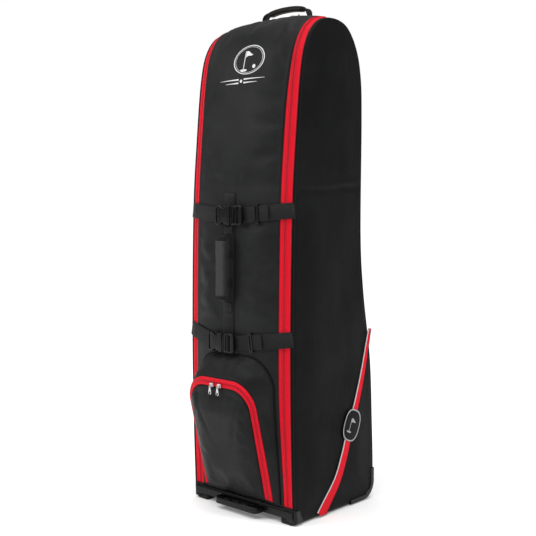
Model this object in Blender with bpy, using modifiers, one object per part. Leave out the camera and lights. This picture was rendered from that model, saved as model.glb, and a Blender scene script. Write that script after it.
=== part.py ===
"""A wheeled, soft-sided golf travel case that stands upright, in metres, +Z up and the front facing -Y.

The padded shell is two flat side panels joined by a strip that runs up the front, over the crown and
down the back. The strip's outline is PROFILE. A point on it is named by s, the distance along the
outline from the bottom of the front, and by x, the distance across. A U-shaped zip frees the hood, which
folds forward about the crease above the upper strap.
"""

import math

import bmesh
import bpy
import numpy as np
from mathutils import Euler, Matrix, Vector

# Overall sizes
REAR_REACH = 0.160  # the wheels stand furthest back from the case's mid-plane
FRONT_REACH = 0.248  # the pocket's zip pulls stand furthest forward
ORIGIN_Y = (FRONT_REACH - REAR_REACH) / 2
HALF_WIDTH = 0.1755
SIDE_THICKNESS = 0.0065
EDGE_X = HALF_WIDTH - SIDE_THICKNESS - 0.0005  # the strip ends just inside the side panels
GAP = 0.0004  # between pieces that touch
PANEL = 0.006  # fabric, foam and lining

# The outline of the strip, (y, z), up the front, over the crown and down the back
PROFILE = (
    (-0.1575, 0.0385),
    (-0.163, 0.20),
    (-0.166, 0.45),
    (-0.160, 0.76),
    (-0.147, 0.94),
    (-0.131, 1.09),
    (-0.111, 1.163),
    (-0.074, 1.207),
    (-0.020, 1.2215),
    (0.034, 1.209),
    (0.073, 1.161),
    (0.093, 1.090),
    (0.098, 0.98),
    (0.097, 0.70),
    (0.110, 0.55),
    (0.141, 0.37),
    (0.152, 0.20),
    (0.1565, 0.10),
    (0.1565, 0.0385),
)
FRONT_BULGE = 0.028
CROWN_BULGE = 0.0192
REAR_BULGE = 0.008

# The U-shaped main zip: legs up both front edges, joined across the crown
ZIP_X = 0.1525
ZIP_HALF = 0.018
ZIP_OUTER = EDGE_X - ZIP_X
ZIP_CORNER = 0.026
ZIP_CROSS_Y = -0.008
ZIP_TAPE = 0.0022
FOLD_Z = 0.815

# Straps, buckles and handles
WEBBING = 0.038
STRAP_Z = {"upper": 0.758, "lower": 0.453}
STRAP_SAG = {"upper": 0.013, "lower": 0.020}
BUCKLE_X = {"upper": 0.000, "lower": -0.023}
KEEPER_X = {"upper": 0.080, "lower": 0.066}
STRAP_INNER = 0.0024
STRAP_OUTER = 0.0040
BUCKLE_LENGTH = 0.086
BUCKLE_WIDTH = 0.048
BUCKLE_DEPTH = 0.015
COLUMN_X = -0.012  # the front handle's middle
LOOP_RADIUS = 0.004
HANDLE_STAND = 0.027
FRONT_HANDLE_Z = (0.536, 0.698)
TOP_HANDLE_Y = 0.024
TOP_HANDLE_X = (-0.098, 0.054)  # where its two ends are sewn down
TOP_HANDLE_RISE = 0.042
TOP_GRIP_RADIUS = 0.0105

# The wedge-shaped front pocket
POCKET_LOW = (-0.1700, 0.052)
POCKET_HIGH = (-0.2390, 0.338)
POCKET_X = -0.012
POCKET_HALF = 0.112
POCKET_CORNER = 0.065
POCKET_BAND = 0.011
POCKET_FOOT_HALF = 0.128
POCKET_FOOT_Z = (0.044, 0.405)
POCKET_FOOT_CORNER = 0.080

# Base and wheels
TRAY_Z = (0.013, 0.038)
TRAY_Y = (-0.157, 0.155)
TRAY_WALL = 0.003
HOUSING_X = (0.109, EDGE_X)
HOUSING_Y = (0.079, 0.156)
HOUSING_Z = (0.006, 0.0805)
WHEEL_X = 0.140
WHEEL_RADIUS = 0.038
WHEEL_Y = REAR_REACH - WHEEL_RADIUS
WHEEL_HALF_WIDTH = 0.012
BEARING_RADIUS = 0.011
BEARING_WIDTH = 0.007
AXLE_RADIUS = 0.004

SIDES = {"left": -1, "right": 1}


# ---------------------------------------------------------------- scene and materials


def clear_scene():
    for obj in list(bpy.data.objects):
        bpy.data.objects.remove(obj)


def new_collection(name):
    made = bpy.data.collections.new(name)
    bpy.context.scene.collection.children.link(made)
    return made


clear_scene()
CASE = new_collection("golf_travel_case")
CUTTERS = new_collection("cutters")
ORIGIN = bpy.data.objects.new("case_origin", None)
ORIGIN.location = (0, ORIGIN_Y, 0)
CASE.objects.link(ORIGIN)


def material(name, colour, roughness, metallic=0.0):
    made = bpy.data.materials.new(name)
    made.use_nodes = True
    shader = made.node_tree.nodes["Principled BSDF"]
    shader.inputs["Base Color"].default_value = (*colour, 1.0)
    shader.inputs["Roughness"].default_value = roughness
    shader.inputs["Metallic"].default_value = metallic
    return made


FABRIC = material("black_polyester", (0.022, 0.023, 0.024), 0.62)
LINING = material("black_foam", (0.05, 0.05, 0.05), 0.9)
RED = material("red_zip_tape", (0.62, 0.012, 0.025), 0.55)
WEB = material("black_webbing", (0.02, 0.02, 0.02), 0.7)
PLASTIC = material("black_plastic", (0.015, 0.015, 0.016), 0.4)
RUBBER = material("black_rubber", (0.012, 0.012, 0.012), 0.8)
METAL = material("nickel", (0.7, 0.7, 0.7), 0.25, 1.0)
HUB_PLASTIC = material("grey_plastic", (0.12, 0.12, 0.13), 0.5)


def place(obj, finish, collection=CASE):
    """Puts a new object in its collection, gives it its finish and hangs it from the case's origin."""
    collection.objects.link(obj)
    obj.parent = ORIGIN
    if finish is not None:
        obj.data.materials.append(finish)
    return obj


def cutter(obj):
    for collection in list(obj.users_collection):
        collection.objects.unlink(obj)
    CUTTERS.objects.link(obj)
    obj.hide_render = True
    obj.display_type = "WIRE"
    return obj


def mesh_object(name, bm, finish, location=(0, 0, 0), rotation=(0, 0, 0)):
    bmesh.ops.recalc_face_normals(bm, faces=bm.faces[:])
    if bm.calc_volume(signed=True) < 0:
        bmesh.ops.reverse_faces(bm, faces=bm.faces[:])
    mesh = bpy.data.meshes.new(name)
    bm.to_mesh(mesh)
    bm.free()
    obj = place(bpy.data.objects.new(name, mesh), finish)
    obj.location = location
    obj.rotation_euler = rotation
    return obj


# ---------------------------------------------------------------- shapes


def box(name, low, high, finish, bevel=0.0, segments=2):
    """A block between two corners, its edges rounded."""
    bm = bmesh.new()
    bmesh.ops.create_cube(bm, size=1.0)
    low, high = Vector(low), Vector(high)
    for vert in bm.verts:
        vert.co = Vector(low[k] + (vert.co[k] + 0.5) * (high[k] - low[k]) for k in range(3))
    middle = (low + high) / 2
    for vert in bm.verts:
        vert.co -= middle
    obj = mesh_object(name, bm, finish, location=middle)
    if bevel:
        rounding = obj.modifiers.new("rounding", "BEVEL")
        rounding.width = bevel
        rounding.segments = segments
    return obj


def boolean(obj, other, operation="DIFFERENCE"):
    cut = obj.modifiers.new(operation.lower(), "BOOLEAN")
    cut.operation = operation
    cut.object = other
    return obj


def cut_box(obj, low, high):
    return boolean(obj, cutter(box(obj.name + "_cut", low, high, None)))


def join_box(obj, low, high, bevel=0.0):
    return boolean(obj, cutter(box(obj.name + "_add", low, high, None, bevel)), "UNION")


def cylinder(name, radius, x_range, y, z, finish, segments=24):
    """A cylinder that lies along X."""
    bm = bmesh.new()
    bmesh.ops.create_cone(
        bm, cap_ends=True, segments=segments, radius1=radius, radius2=radius, depth=x_range[1] - x_range[0]
    )
    return mesh_object(name, bm, finish, ((x_range[0] + x_range[1]) / 2, y, z), (0, math.pi / 2, 0))


def turned(name, outline, location, finish, steps=32, closed=True):
    """A body turned about X: outline is (radius, x) points that run round its section, outer side first."""
    mesh = bpy.data.meshes.new(name)
    points = [(radius, 0, along) for radius, along in outline]
    edges = [(i, i + 1) for i in range(len(points) - 1)]
    if closed:
        edges.append((len(points) - 1, 0))
    mesh.from_pydata(points, edges, [])
    obj = place(bpy.data.objects.new(name, mesh), finish)
    obj.location = location
    obj.rotation_euler = (0, math.pi / 2, 0)
    screw = obj.modifiers.new("turn", "SCREW")
    screw.steps = screw.render_steps = steps
    screw.use_merge_vertices = True
    screw.merge_threshold = 1e-5
    screw.use_smooth_shade = True
    return obj


def tube(name, points, radius, finish, sides=2):
    """A round bar along the given points."""
    curve = bpy.data.curves.new(name, "CURVE")
    curve.dimensions = "3D"
    curve.bevel_depth = radius
    curve.bevel_resolution = sides
    curve.use_fill_caps = True
    spline = curve.splines.new("POLY")
    spline.points.add(len(points) - 1)
    for spot, point in zip(spline.points, points):
        spot.co = (*point, 1)
    return place(bpy.data.objects.new(name, curve), finish)


def as_mesh(obj):
    """Turns a curve object into a welded mesh object of the same name, which a Boolean can use."""
    bpy.context.view_layer.update()
    graph = bpy.context.evaluated_depsgraph_get()
    mesh = bpy.data.meshes.new_from_object(obj.evaluated_get(graph))
    bm = bmesh.new()
    bm.from_mesh(mesh)
    bmesh.ops.remove_doubles(bm, verts=bm.verts[:], dist=1e-5)
    name = obj.name
    bpy.data.objects.remove(obj)
    bpy.data.meshes.remove(mesh)
    return mesh_object(name, bm, None)


def sheet(name, rows, columns, point, finish):
    """A thin closed body: point(u, v, w) is its outer face at w 0 and its inner face at w 1."""
    bm = bmesh.new()
    bmesh.ops.create_grid(bm, x_segments=rows, y_segments=columns, size=0.5)
    made = bmesh.ops.extrude_face_region(bm, geom=bm.faces[:], use_keep_orig=True)
    inner = {item for item in made["geom"] if isinstance(item, bmesh.types.BMVert)}
    for vert in bm.verts:
        vert.co = point(vert.co.x + 0.5, vert.co.y + 0.5, 1 if vert in inner else 0)
    obj = mesh_object(name, bm, finish)
    obj.data.shade_smooth()
    obj.data.set_sharp_from_angle(angle=math.radians(40))
    return obj


# ---------------------------------------------------------------- the strip's surface


def smooth(t):
    t = min(1.0, max(0.0, t))
    return t * t * (3 - 2 * t)


def outline_table(points, per_span=24):
    """Distances along a Catmull-Rom curve through the points, and the curve's y and z there."""
    known = np.array([points[0], *points, points[-1]])
    fine = []
    for i in range(len(points) - 1):
        a, b, c, d = known[i : i + 4]
        for t in np.arange(per_span) / per_span:
            fine.append(
                0.5 * (2 * b + (c - a) * t + (2 * a - 5 * b + 4 * c - d) * t**2 + (3 * b - a - 3 * c + d) * t**3)
            )
    fine.append(known[-1])
    fine = np.array(fine)
    steps = np.hypot(*np.diff(fine, axis=0).T)
    return np.concatenate([[0], np.cumsum(steps)]), fine[:, 0], fine[:, 1]


S_TABLE, Y_TABLE, Z_TABLE = outline_table(PROFILE)
S_END = S_TABLE[-1]
CROWN = int(np.argmax(Z_TABLE))
S_CROWN = S_TABLE[CROWN]


def front_s(z):
    return float(np.interp(z, Z_TABLE[:CROWN], S_TABLE[:CROWN]))


def rear_s(z):
    return float(np.interp(-z, -Z_TABLE[CROWN:], S_TABLE[CROWN:]))


def crown_s(y):
    """Where the strip passes over y near the crown."""
    return float(np.interp(y, Y_TABLE[CROWN - 60 : CROWN + 60], S_TABLE[CROWN - 60 : CROWN + 60]))


def outline_at(s):
    """(y, z) of the outline, and its outward direction."""
    step = 0.004
    low, high = max(0.0, s - step), min(S_END, s + step)
    run = (np.interp(high, S_TABLE, Y_TABLE) - np.interp(low, S_TABLE, Y_TABLE)) / (high - low)
    rise = (np.interp(high, S_TABLE, Z_TABLE) - np.interp(low, S_TABLE, Z_TABLE)) / (high - low)
    length = math.hypot(run, rise)
    spot = (float(np.interp(s, S_TABLE, Y_TABLE)), float(np.interp(s, S_TABLE, Z_TABLE)))
    return spot, (-rise / length, run / length)


def bulge(s, x):
    """How far the stuffed strip stands out of its outline."""
    rise = smooth(s / 0.30)
    front = FRONT_BULGE + (CROWN_BULGE - FRONT_BULGE) * smooth((s - 0.90) / (S_CROWN - 0.90))
    back = smooth((s - S_CROWN) / 0.30)
    foot = smooth((S_END - s) / 0.25)
    return rise * foot * (front * (1 - back) + REAR_BULGE * back) * (1 - abs(x / EDGE_X) ** 3)


def surface(s, x, height=0.0):
    """The point height outside the strip's outer face."""
    (y, z), (out_y, out_z) = outline_at(s)
    away = bulge(s, x) + height
    return Vector((x, y + out_y * away, z + out_z * away))


def seat_on(name, s, x, height, slope=0.0):
    """An empty that stands on the strip: its X runs across at the slope, its Z up the strip and its -Y points out."""
    step = 0.008
    rise = step * slope
    across = (surface(s + rise, x + step) - surface(s - rise, x - step)).normalized()
    up = (surface(s + step, x) - surface(s - step, x)).normalized()
    up = (up - across * up.dot(across)).normalized()
    seat = bpy.data.objects.new(name, None)
    CASE.objects.link(seat)
    seat.parent = ORIGIN
    seat.location = surface(s, x, height)
    seat.rotation_euler = Matrix((across, up.cross(across), up)).transposed().to_euler()
    return seat


def hang(seat, *objects):
    """Hangs objects, and whatever cuts or joins them, from an empty."""
    for obj in objects:
        obj.parent = seat
        for modifier in obj.modifiers:
            if modifier.type == "BOOLEAN":
                modifier.object.parent = seat


def strip(name, s_range, x_range, heights, rows, columns, finish):
    """A plain rectangular piece of the strip."""

    def point(u, v, w):
        s = s_range[0] + (s_range[1] - s_range[0]) * u
        x = x_range[0] + (x_range[1] - x_range[0]) * v
        return surface(s, x, heights[w])

    return sheet(name, rows, columns, point, finish)


# ---------------------------------------------------------------- the main zip and the panels beside it

S_BOTTOM = 0.0008
S_FOLD = front_s(FOLD_Z)
S_CROSS = crown_s(ZIP_CROSS_Y)
S_TURN = S_CROSS - ZIP_CORNER
TURN_X = ZIP_X - ZIP_CORNER

# Stops along the right half of the zip: s up the leg, the angle round the corner, x across the crown
LEG_STOPS = 12
TURN_STOPS = 9
CROSS_STOPS = 6


def zip_stops(first, leg_stops, offset):
    """(s, x) up the right leg from s first, round the corner and in to the middle of the crown.

    offset moves the line outwards, away from the hood.
    """
    stops = [(s, ZIP_X + offset) for s in np.linspace(first, S_TURN, leg_stops, endpoint=False)]
    reach = ZIP_CORNER + offset
    for angle in np.linspace(0, math.pi / 2, TURN_STOPS, endpoint=False):
        stops.append((S_TURN + reach * math.sin(angle), TURN_X + reach * math.cos(angle)))
    stops += [(S_CROSS + offset, x) for x in np.linspace(TURN_X, 0, CROSS_STOPS)]
    return stops


def zip_band(name, first, leg_stops, offsets):
    """Half the zip's width, both legs and the run across the crown."""
    edges = [zip_stops(first, leg_stops, offset) for offset in offsets]
    last = len(edges[0]) - 1

    def point(u, v, w):
        at = round(last * (1 - abs(2 * u - 1)))
        (s0, x0), (s1, x1) = edges[0][at], edges[1][at]
        x = x0 + (x1 - x0) * v
        return surface(s0 + (s1 - s0) * v, math.copysign(x, u - 0.5), -ZIP_TAPE * w)

    return sheet(name, 2 * last, 2, point, RED)


def hood_half_width(s):
    """Half the hood panel's width, which narrows round the zip's corners."""
    reach = ZIP_CORNER - ZIP_HALF - GAP
    if s <= S_TURN:
        return ZIP_X - ZIP_HALF - GAP
    return TURN_X + math.sqrt(max(0.0, reach**2 - (s - S_TURN) ** 2))


def build_hood():
    last = S_CROSS - ZIP_HALF - GAP
    first = S_FOLD + GAP

    def place_on(u, v, height):
        # rows crowd towards the rounded end
        share = 1 - (1 - u) ** 1.6
        s = first + (last - first) * share
        return surface(s, (2 * v - 1) * hood_half_width(s), height)

    sheet("hood_panel", 24, 8, lambda u, v, w: place_on(u, v, -PANEL * w), FABRIC)
    zip_band("hood_zip", first, LEG_STOPS, (-ZIP_HALF, -GAP / 2))
    pad_first = front_s(1.03)

    def pad_point(u, v, w):
        s = pad_first + (last - 0.012 - pad_first) * u
        return surface(s, (2 * v - 1) * (hood_half_width(s) - 0.015), -PANEL - 0.0015 - 0.008 * w)

    sheet("crown_pad", 14, 6, pad_point, LINING)


def build_front():
    inner = ZIP_X - ZIP_HALF - GAP
    strip("front_panel", (S_BOTTOM, S_FOLD - GAP), (-inner, inner), (0, -PANEL), 16, 8, FABRIC)
    for side, sign in SIDES.items():
        tape = (sign * (ZIP_X - ZIP_HALF), sign * (ZIP_X - GAP / 2))
        strip(f"front_zip_{side}", (S_BOTTOM, S_FOLD - GAP), tape, (0, -ZIP_TAPE), 14, 1, RED)


def build_rear():
    """The back and the rear of the crown; its top edge follows the outside of the zip."""
    reach = ZIP_CORNER + ZIP_OUTER + GAP
    widest = math.asin((EDGE_X - TURN_X) / reach)
    edge = [(S_TURN + reach * math.cos(a), TURN_X + reach * math.sin(a)) for a in np.linspace(widest, 0, 8)]
    edge += [(S_TURN + reach, x) for x in np.linspace(TURN_X, 0, 4)[1:]]
    last = len(edge) - 1

    def point(u, v, w):
        start, x = edge[round(last * (1 - abs(2 * v - 1)))]
        return surface(start + (S_END - start) * u**1.4, math.copysign(x, v - 0.5), -PANEL * w)

    panel = sheet("rear_panel", 28, 2 * last, point, FABRIC)
    for sign in SIDES.values():
        inner, outer = sorted((sign * (HOUSING_X[0] - GAP), sign * (EDGE_X + 0.01)))
        cut_box(panel, (inner, 0.10, 0.0), (outer, 0.20, HOUSING_Z[1] + GAP))
    for side, sign in SIDES.items():
        middle = sign * 0.072
        rail = (middle - 0.007, middle + 0.007)
        strip(f"skid_rail_{side}", (rear_s(0.60), rear_s(0.12)), rail, (0.006, 0.0013), 12, 1, PLASTIC)


def build_side_panels():
    """Flat padded panels, cut to the outline, with a rounded rear foot that leaves the wheel clear."""
    foot_radius, foot_z = 0.042, 0.004
    foot_y = 0.154 - foot_radius
    outline = []
    for s in np.linspace(0.004, rear_s(0.075), 46):
        spot, out = outline_at(float(s))
        outline.append((spot[0] + out[0] * 0.0015, spot[1] + out[1] * 0.0015))
    for step in range(7):
        angle = math.pi / 2 * step / 6
        outline.append(
            (foot_y + foot_radius * math.cos(angle), foot_z + foot_radius - foot_radius * math.sin(angle))
        )
    outline += [(-0.146, foot_z), (-0.155, 0.012)]
    for side, sign in SIDES.items():
        curve = bpy.data.curves.new(f"side_panel_{side}", "CURVE")
        curve.dimensions = "2D"
        curve.fill_mode = "BOTH"
        curve.extrude = SIDE_THICKNESS / 2
        spline = curve.splines.new("POLY")
        spline.use_cyclic_u = True
        spline.points.add(len(outline) - 1)
        for spot, (y, z) in zip(spline.points, outline):
            spot.co = (y, z, 0, 1)
        panel = place(bpy.data.objects.new(curve.name, curve), FABRIC)
        panel.rotation_euler = Euler((math.pi / 2, 0, math.pi / 2))
        panel.location = (sign * (HALF_WIDTH - SIDE_THICKNESS / 2), 0, 0)


# The stripe's middle line on a side panel (y, z) with its half width, from the back down to the base
STRIPE = (
    (0.134, 0.445, 0.0045),
    (0.110, 0.360, 0.0065),
    (0.084, 0.272, 0.0085),
    (0.046, 0.165, 0.0110),
    (0.000, 0.080, 0.0125),
    (-0.058, 0.010, 0.0130),
)


def build_side_stripes():
    steps = np.linspace(0, 1, len(STRIPE))
    line = np.array(STRIPE)

    def stripe_at(u):
        return [float(np.interp(u, steps, line[:, k])) for k in range(3)]

    for side, sign in SIDES.items():

        def point(u, v, w, sign=sign):
            y, z, half = stripe_at(u)
            ahead, behind = stripe_at(min(1.0, u + 0.02)), stripe_at(max(0.0, u - 0.02))
            run, rise = ahead[0] - behind[0], ahead[1] - behind[1]
            length = math.hypot(run, rise)
            aside = half * (2 * v - 1)
            x = HALF_WIDTH + GAP + 0.0012 * (1 - w)
            return Vector((sign * x, y + rise / length * aside, z - run / length * aside))

        sheet(f"side_stripe_{side}", 15, 1, point, RED)


# ---------------------------------------------------------------- the front pocket

POCKET_RUN = Vector((0, POCKET_HIGH[0] - POCKET_LOW[0], POCKET_HIGH[1] - POCKET_LOW[1]))
POCKET_LENGTH = POCKET_RUN.length
POCKET_UP = POCKET_RUN.normalized()
POCKET_OUT = Vector((0, -POCKET_UP.z, POCKET_UP.y))
POCKET_THICK = 0.004


def arch(t, half, height, corner):
    """The point at share t along an arch in its own plane: up the left leg, over and down the right.

    Each leg takes a sixth of the rows, each corner a quarter and the top the rest.
    """
    along = 1 - abs(2 * t - 1)
    top = half - corner
    if along <= 1 / 3:
        x, q = half, (height - corner) * along * 3
    elif along <= 5 / 6:
        angle = (along - 1 / 3) * math.pi
        x, q = top + corner * math.cos(angle), height - corner + corner * math.sin(angle)
    else:
        x, q = top * (1 - along) * 6, height
    return math.copysign(x, t - 0.5), q


def cover_point(x, q, height=0.0):
    """A point of the pocket cover's plane: q up it from its lower edge, height outside it."""
    return Vector((x, *POCKET_LOW)) + POCKET_UP * q + POCKET_OUT * height


def foot_point(t, inset, height):
    """A point where the pocket's gusset meets the front panel."""
    low, high = POCKET_FOOT_Z
    x, q = arch(t, POCKET_FOOT_HALF - inset, high - low - inset, POCKET_FOOT_CORNER - inset)
    return surface(front_s(low + q), x, height)


def rim_point(t, inset, height):
    x, q = arch(t, POCKET_HALF - inset, POCKET_LENGTH - inset, POCKET_CORNER - inset)
    return cover_point(POCKET_X + x, q, height)


def build_pocket():
    wall = 0.003

    def gusset(name, share_low, share_high, finish, rows):
        def point(u, v, w):
            share = share_low(u) + (share_high(u) - share_low(u)) * v
            rim = rim_point(u, wall * w, -0.003)
            foot = foot_point(u, wall * w, GAP)
            return rim.lerp(foot, share)

        return sheet(name, 48, rows, point, finish)

    def run(u):
        """The gusset's width from rim to front panel."""
        return (rim_point(u, 0, 0) - foot_point(u, 0, 0)).length

    gusset("pocket_gusset_zip", lambda u: 0.0, lambda u: min(0.45, POCKET_BAND / run(u)), RED, 1)
    gusset("pocket_gusset", lambda u: min(0.45, POCKET_BAND / run(u)) + GAP / run(u), lambda u: 1.0, FABRIC, 3)

    def band_point(u, v, w):
        return rim_point(u, POCKET_BAND * v, -0.0025 * w)

    sheet("pocket_cover_zip", 48, 1, band_point, RED)

    half = POCKET_HALF - POCKET_BAND - GAP
    corner = POCKET_CORNER - POCKET_BAND - GAP
    height = POCKET_LENGTH - POCKET_BAND - GAP

    def cover(u, v, w):
        x = half * math.sin(math.pi / 2 * (2 * u - 1))
        past = abs(x) - (half - corner)
        top = height if past <= 0 else height - corner + math.sqrt(max(0.0, corner**2 - past**2))
        return cover_point(POCKET_X + x, top * v, -POCKET_THICK * w)

    sheet("pocket_cover", 18, 8, cover, FABRIC)


# ---------------------------------------------------------------- straps and buckles


def sag_slope(name, sign):
    """How fast the strap drops from its sewn end towards the buckle."""
    return STRAP_SAG[name] / (EDGE_X - sign * BUCKLE_X[name] - BUCKLE_LENGTH / 2)


def strap_s(name, x):
    """The middle of a strap, up the strip: the buckle hangs a little, and the webbing runs straight to it."""
    aside = x - BUCKLE_X[name]
    drop = STRAP_SAG[name] - sag_slope(name, math.copysign(1, aside)) * max(0.0, abs(aside) - BUCKLE_LENGTH / 2)
    return front_s(STRAP_Z[name]) - drop


def build_strap(name):
    """One compression strap: two sewn webbing halves, the two halves of the buckle and the keeper."""
    middle = BUCKLE_X[name]

    def webbing(side, first, last):
        def point(u, v, w):
            x = first + (last - first) * v
            return surface(strap_s(name, x) + WEBBING * (u - 0.5), x, (STRAP_OUTER, STRAP_INNER)[w])

        return sheet(f"{name}_strap_{side}", 1, 14, point, WEB)

    webbing("left", -EDGE_X + 0.001, middle - 0.030)
    webbing("right", middle + 0.022, EDGE_X - 0.001)

    seat = seat_on(f"{name}_buckle_seat", strap_s(name, middle), middle, STRAP_OUTER + 0.0012)
    low, high = -BUCKLE_WIDTH / 2, BUCKLE_WIDTH / 2
    start, end = -BUCKLE_LENGTH / 2, BUCKLE_LENGTH / 2
    mouth = 0.006
    front = -BUCKLE_DEPTH

    female = box(f"{name}_buckle_female", (start, front, low), (mouth, 0, high), PLASTIC, 0.0035)
    cut_box(female, (start + 0.013, front + 0.003, low + 0.004), (mouth + 0.01, -0.003, high - 0.004))
    cut_box(female, (start + 0.018, front + 0.0045, low - 0.01), (mouth - 0.010, -0.0045, high + 0.01))
    cut_box(female, (start + 0.004, front - 0.01, low + 0.005), (start + 0.009, 0.01, high - 0.005))

    male = box(f"{name}_buckle_male", (mouth + GAP, front + 0.001, low), (end, 0, high), PLASTIC, 0.003)
    for slot in (0.012, 0.021):
        cut_box(male, (mouth + slot, front - 0.01, low + 0.005), (mouth + slot + 0.005, 0.01, high - 0.005))
    for low_z, high_z in ((low + 0.006, low + 0.012), (high - 0.012, high - 0.006), (-0.003, 0.003)):
        join_box(male, (mouth - 0.026, front + 0.0045, low_z), (mouth + 0.004, -0.0045, high_z), 0.001)

    x = KEEPER_X[name]
    height = (STRAP_INNER + STRAP_OUTER) / 2
    keeper_seat = seat_on(f"{name}_keeper_seat", strap_s(name, x), x, height, sag_slope(name, 1))
    keeper = box(f"{name}_keeper", (-0.006, -0.0036, -0.024), (0.006, 0.0019, 0.024), PLASTIC, 0.0008, 1)
    cut_box(keeper, (-0.02, -0.0016, -0.0205), (0.02, 0.0015, 0.0205))
    hang(seat, female, male)
    hang(keeper_seat, keeper)


# ---------------------------------------------------------------- handles


def arc_points(start, middle, end, count):
    """Points on a smooth curve (a quadratic in each coordinate) through three points."""
    made = []
    for t in np.linspace(0, 1, count):
        made.append(
            Vector(start) * ((1 - t) * (1 - 2 * t)) + Vector(middle) * (4 * t * (1 - t)) + Vector(end) * (t * (2 * t - 1))
        )
    return made


def hollow_grip(name, points, radius, bore):
    """A sleeve along the points, with room for the webbing inside."""
    grip = as_mesh(tube(name, points, radius, None, 3))
    grip.data.materials.append(RUBBER)
    first, last = points[0], points[-1]
    longer = [first + (first - points[1]).normalized() * 0.01, *points, last + (last - points[-2]).normalized() * 0.01]
    return boolean(grip, cutter(as_mesh(tube(name + "_bore", longer, bore, None))))


def build_front_handle():
    """A vertical webbing patch, and a loop with a padded grip that swings about the loop's sewn ends."""
    low, high = FRONT_HANDLE_Z
    half = WEBBING / 2
    patch = (front_s(0.432), front_s(0.800))
    strip("handle_backing", patch, (COLUMN_X - half, COLUMN_X + half), (0.0019, GAP), 16, 1, WEB)
    face = surface(front_s((low + high) / 2), COLUMN_X).y
    stand = face - HANDLE_STAND
    ends = [surface(front_s(z), COLUMN_X).y - 0.0068 for z in (high, low)]
    path = [
        Vector((COLUMN_X, ends[0], high)),
        Vector((COLUMN_X, ends[0] - 0.008, high - 0.001)),
        Vector((COLUMN_X, stand + 0.003, high - 0.004)),
        Vector((COLUMN_X, stand, high - 0.011)),
        Vector((COLUMN_X, stand, low + 0.011)),
        Vector((COLUMN_X, stand + 0.003, low + 0.004)),
        Vector((COLUMN_X, ends[1] - 0.008, low + 0.001)),
        Vector((COLUMN_X, ends[1], low)),
    ]
    tube("front_handle_loop", path, LOOP_RADIUS, WEB)
    grip = box(
        "front_handle_grip",
        (COLUMN_X - 0.016, stand - 0.0078, low + 0.013),
        (COLUMN_X + 0.016, stand + 0.0078, high - 0.013),
        WEB,
        0.006,
        3,
    )
    bore = [Vector((COLUMN_X, stand, low)), Vector((COLUMN_X, stand, high))]
    boolean(grip, cutter(as_mesh(tube("front_handle_bore", bore, LOOP_RADIUS + 0.0006, None, 3))))


def build_top_handle():
    s = crown_s(TOP_HANDLE_Y)
    half = 0.0125
    patch = (s - half, s + half)
    left_x, right_x = TOP_HANDLE_X
    strip("top_handle_patch", patch, (left_x - 0.022, right_x + 0.022), (0.0026, 0.001), 2, 14, WEB)
    foot = surface(s, right_x, 0.0068)  # the higher of its two ends
    top = foot.z + TOP_HANDLE_RISE - LOOP_RADIUS
    y = foot.y
    bend = top - 0.014
    left = [Vector((left_x, y, foot.z)), Vector((left_x, y, bend - 0.010))]
    right = [Vector((right_x, y, bend - 0.010)), Vector((right_x, y, foot.z))]
    span = arc_points((left_x + 0.012, y, bend), ((left_x + right_x) / 2, y, top), (right_x - 0.012, y, bend), 15)
    tube("top_handle_loop", [*left, *span, *right], LOOP_RADIUS, WEB)
    hollow_grip("top_handle_grip", span[1:-1], TOP_GRIP_RADIUS, LOOP_RADIUS + 0.0005)


# ---------------------------------------------------------------- zip sliders and pulls


def build_main_sliders():
    """The two main sliders, parked in the middle of the crown. Each pull lies flat, pointing outwards."""
    normal_z = surface(S_CROSS, 0).z
    for side, sign in SIDES.items():
        x = sign * 0.020
        y = surface(S_CROSS, x).y
        base = normal_z + 0.0026
        low_x, high_x = sorted((sign * 0.012, sign * 0.028))
        slider = box(f"main_slider_{side}", (low_x, y - 0.006, base), (high_x, y + 0.006, base + 0.003), METAL, 0.001)
        low_x, high_x = sorted((sign * 0.015, sign * 0.025))
        join_box(slider, (low_x, y - 0.0015, base + 0.002), (high_x, y + 0.0015, base + 0.0052), 0.0006)
        low_x, high_x = sorted((sign * 0.0270, sign * 0.056))
        pull_z = base + 0.0034
        box(f"main_pull_{side}", (low_x, y - 0.004, pull_z), (high_x, y + 0.004, pull_z + 0.0022), METAL, 0.0009)


def build_pocket_sliders():
    """Two sliders that meet on the pocket's top edge, each with a pull that hangs down."""
    for side, sign in SIDES.items():
        x = COLUMN_X + sign * 0.013
        q = POCKET_LENGTH - 0.0062
        seat = cover_point(x, q, 0.0)
        bm = bmesh.new()
        bmesh.ops.create_cube(bm, size=1.0)
        for vert in bm.verts:
            vert.co = Vector((vert.co.x * 0.013, vert.co.y * 0.0040, vert.co.z * 0.010))
        slider = mesh_object(
            f"pocket_slider_{side}", bm, METAL, seat + POCKET_OUT * 0.0030, (math.atan2(-POCKET_UP.y, POCKET_UP.z), 0, 0)
        )
        rounding = slider.modifiers.new("rounding", "BEVEL")
        rounding.width = 0.0012
        rounding.segments = 2
        front = -FRONT_REACH
        top = seat.z - 0.001
        box(
            f"pocket_pull_{side}",
            (x - 0.0035, front, top - 0.037),
            (x + 0.0035, front + 0.0028, top),
            METAL,
            0.0009,
        )


# ---------------------------------------------------------------- base and wheels


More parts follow.
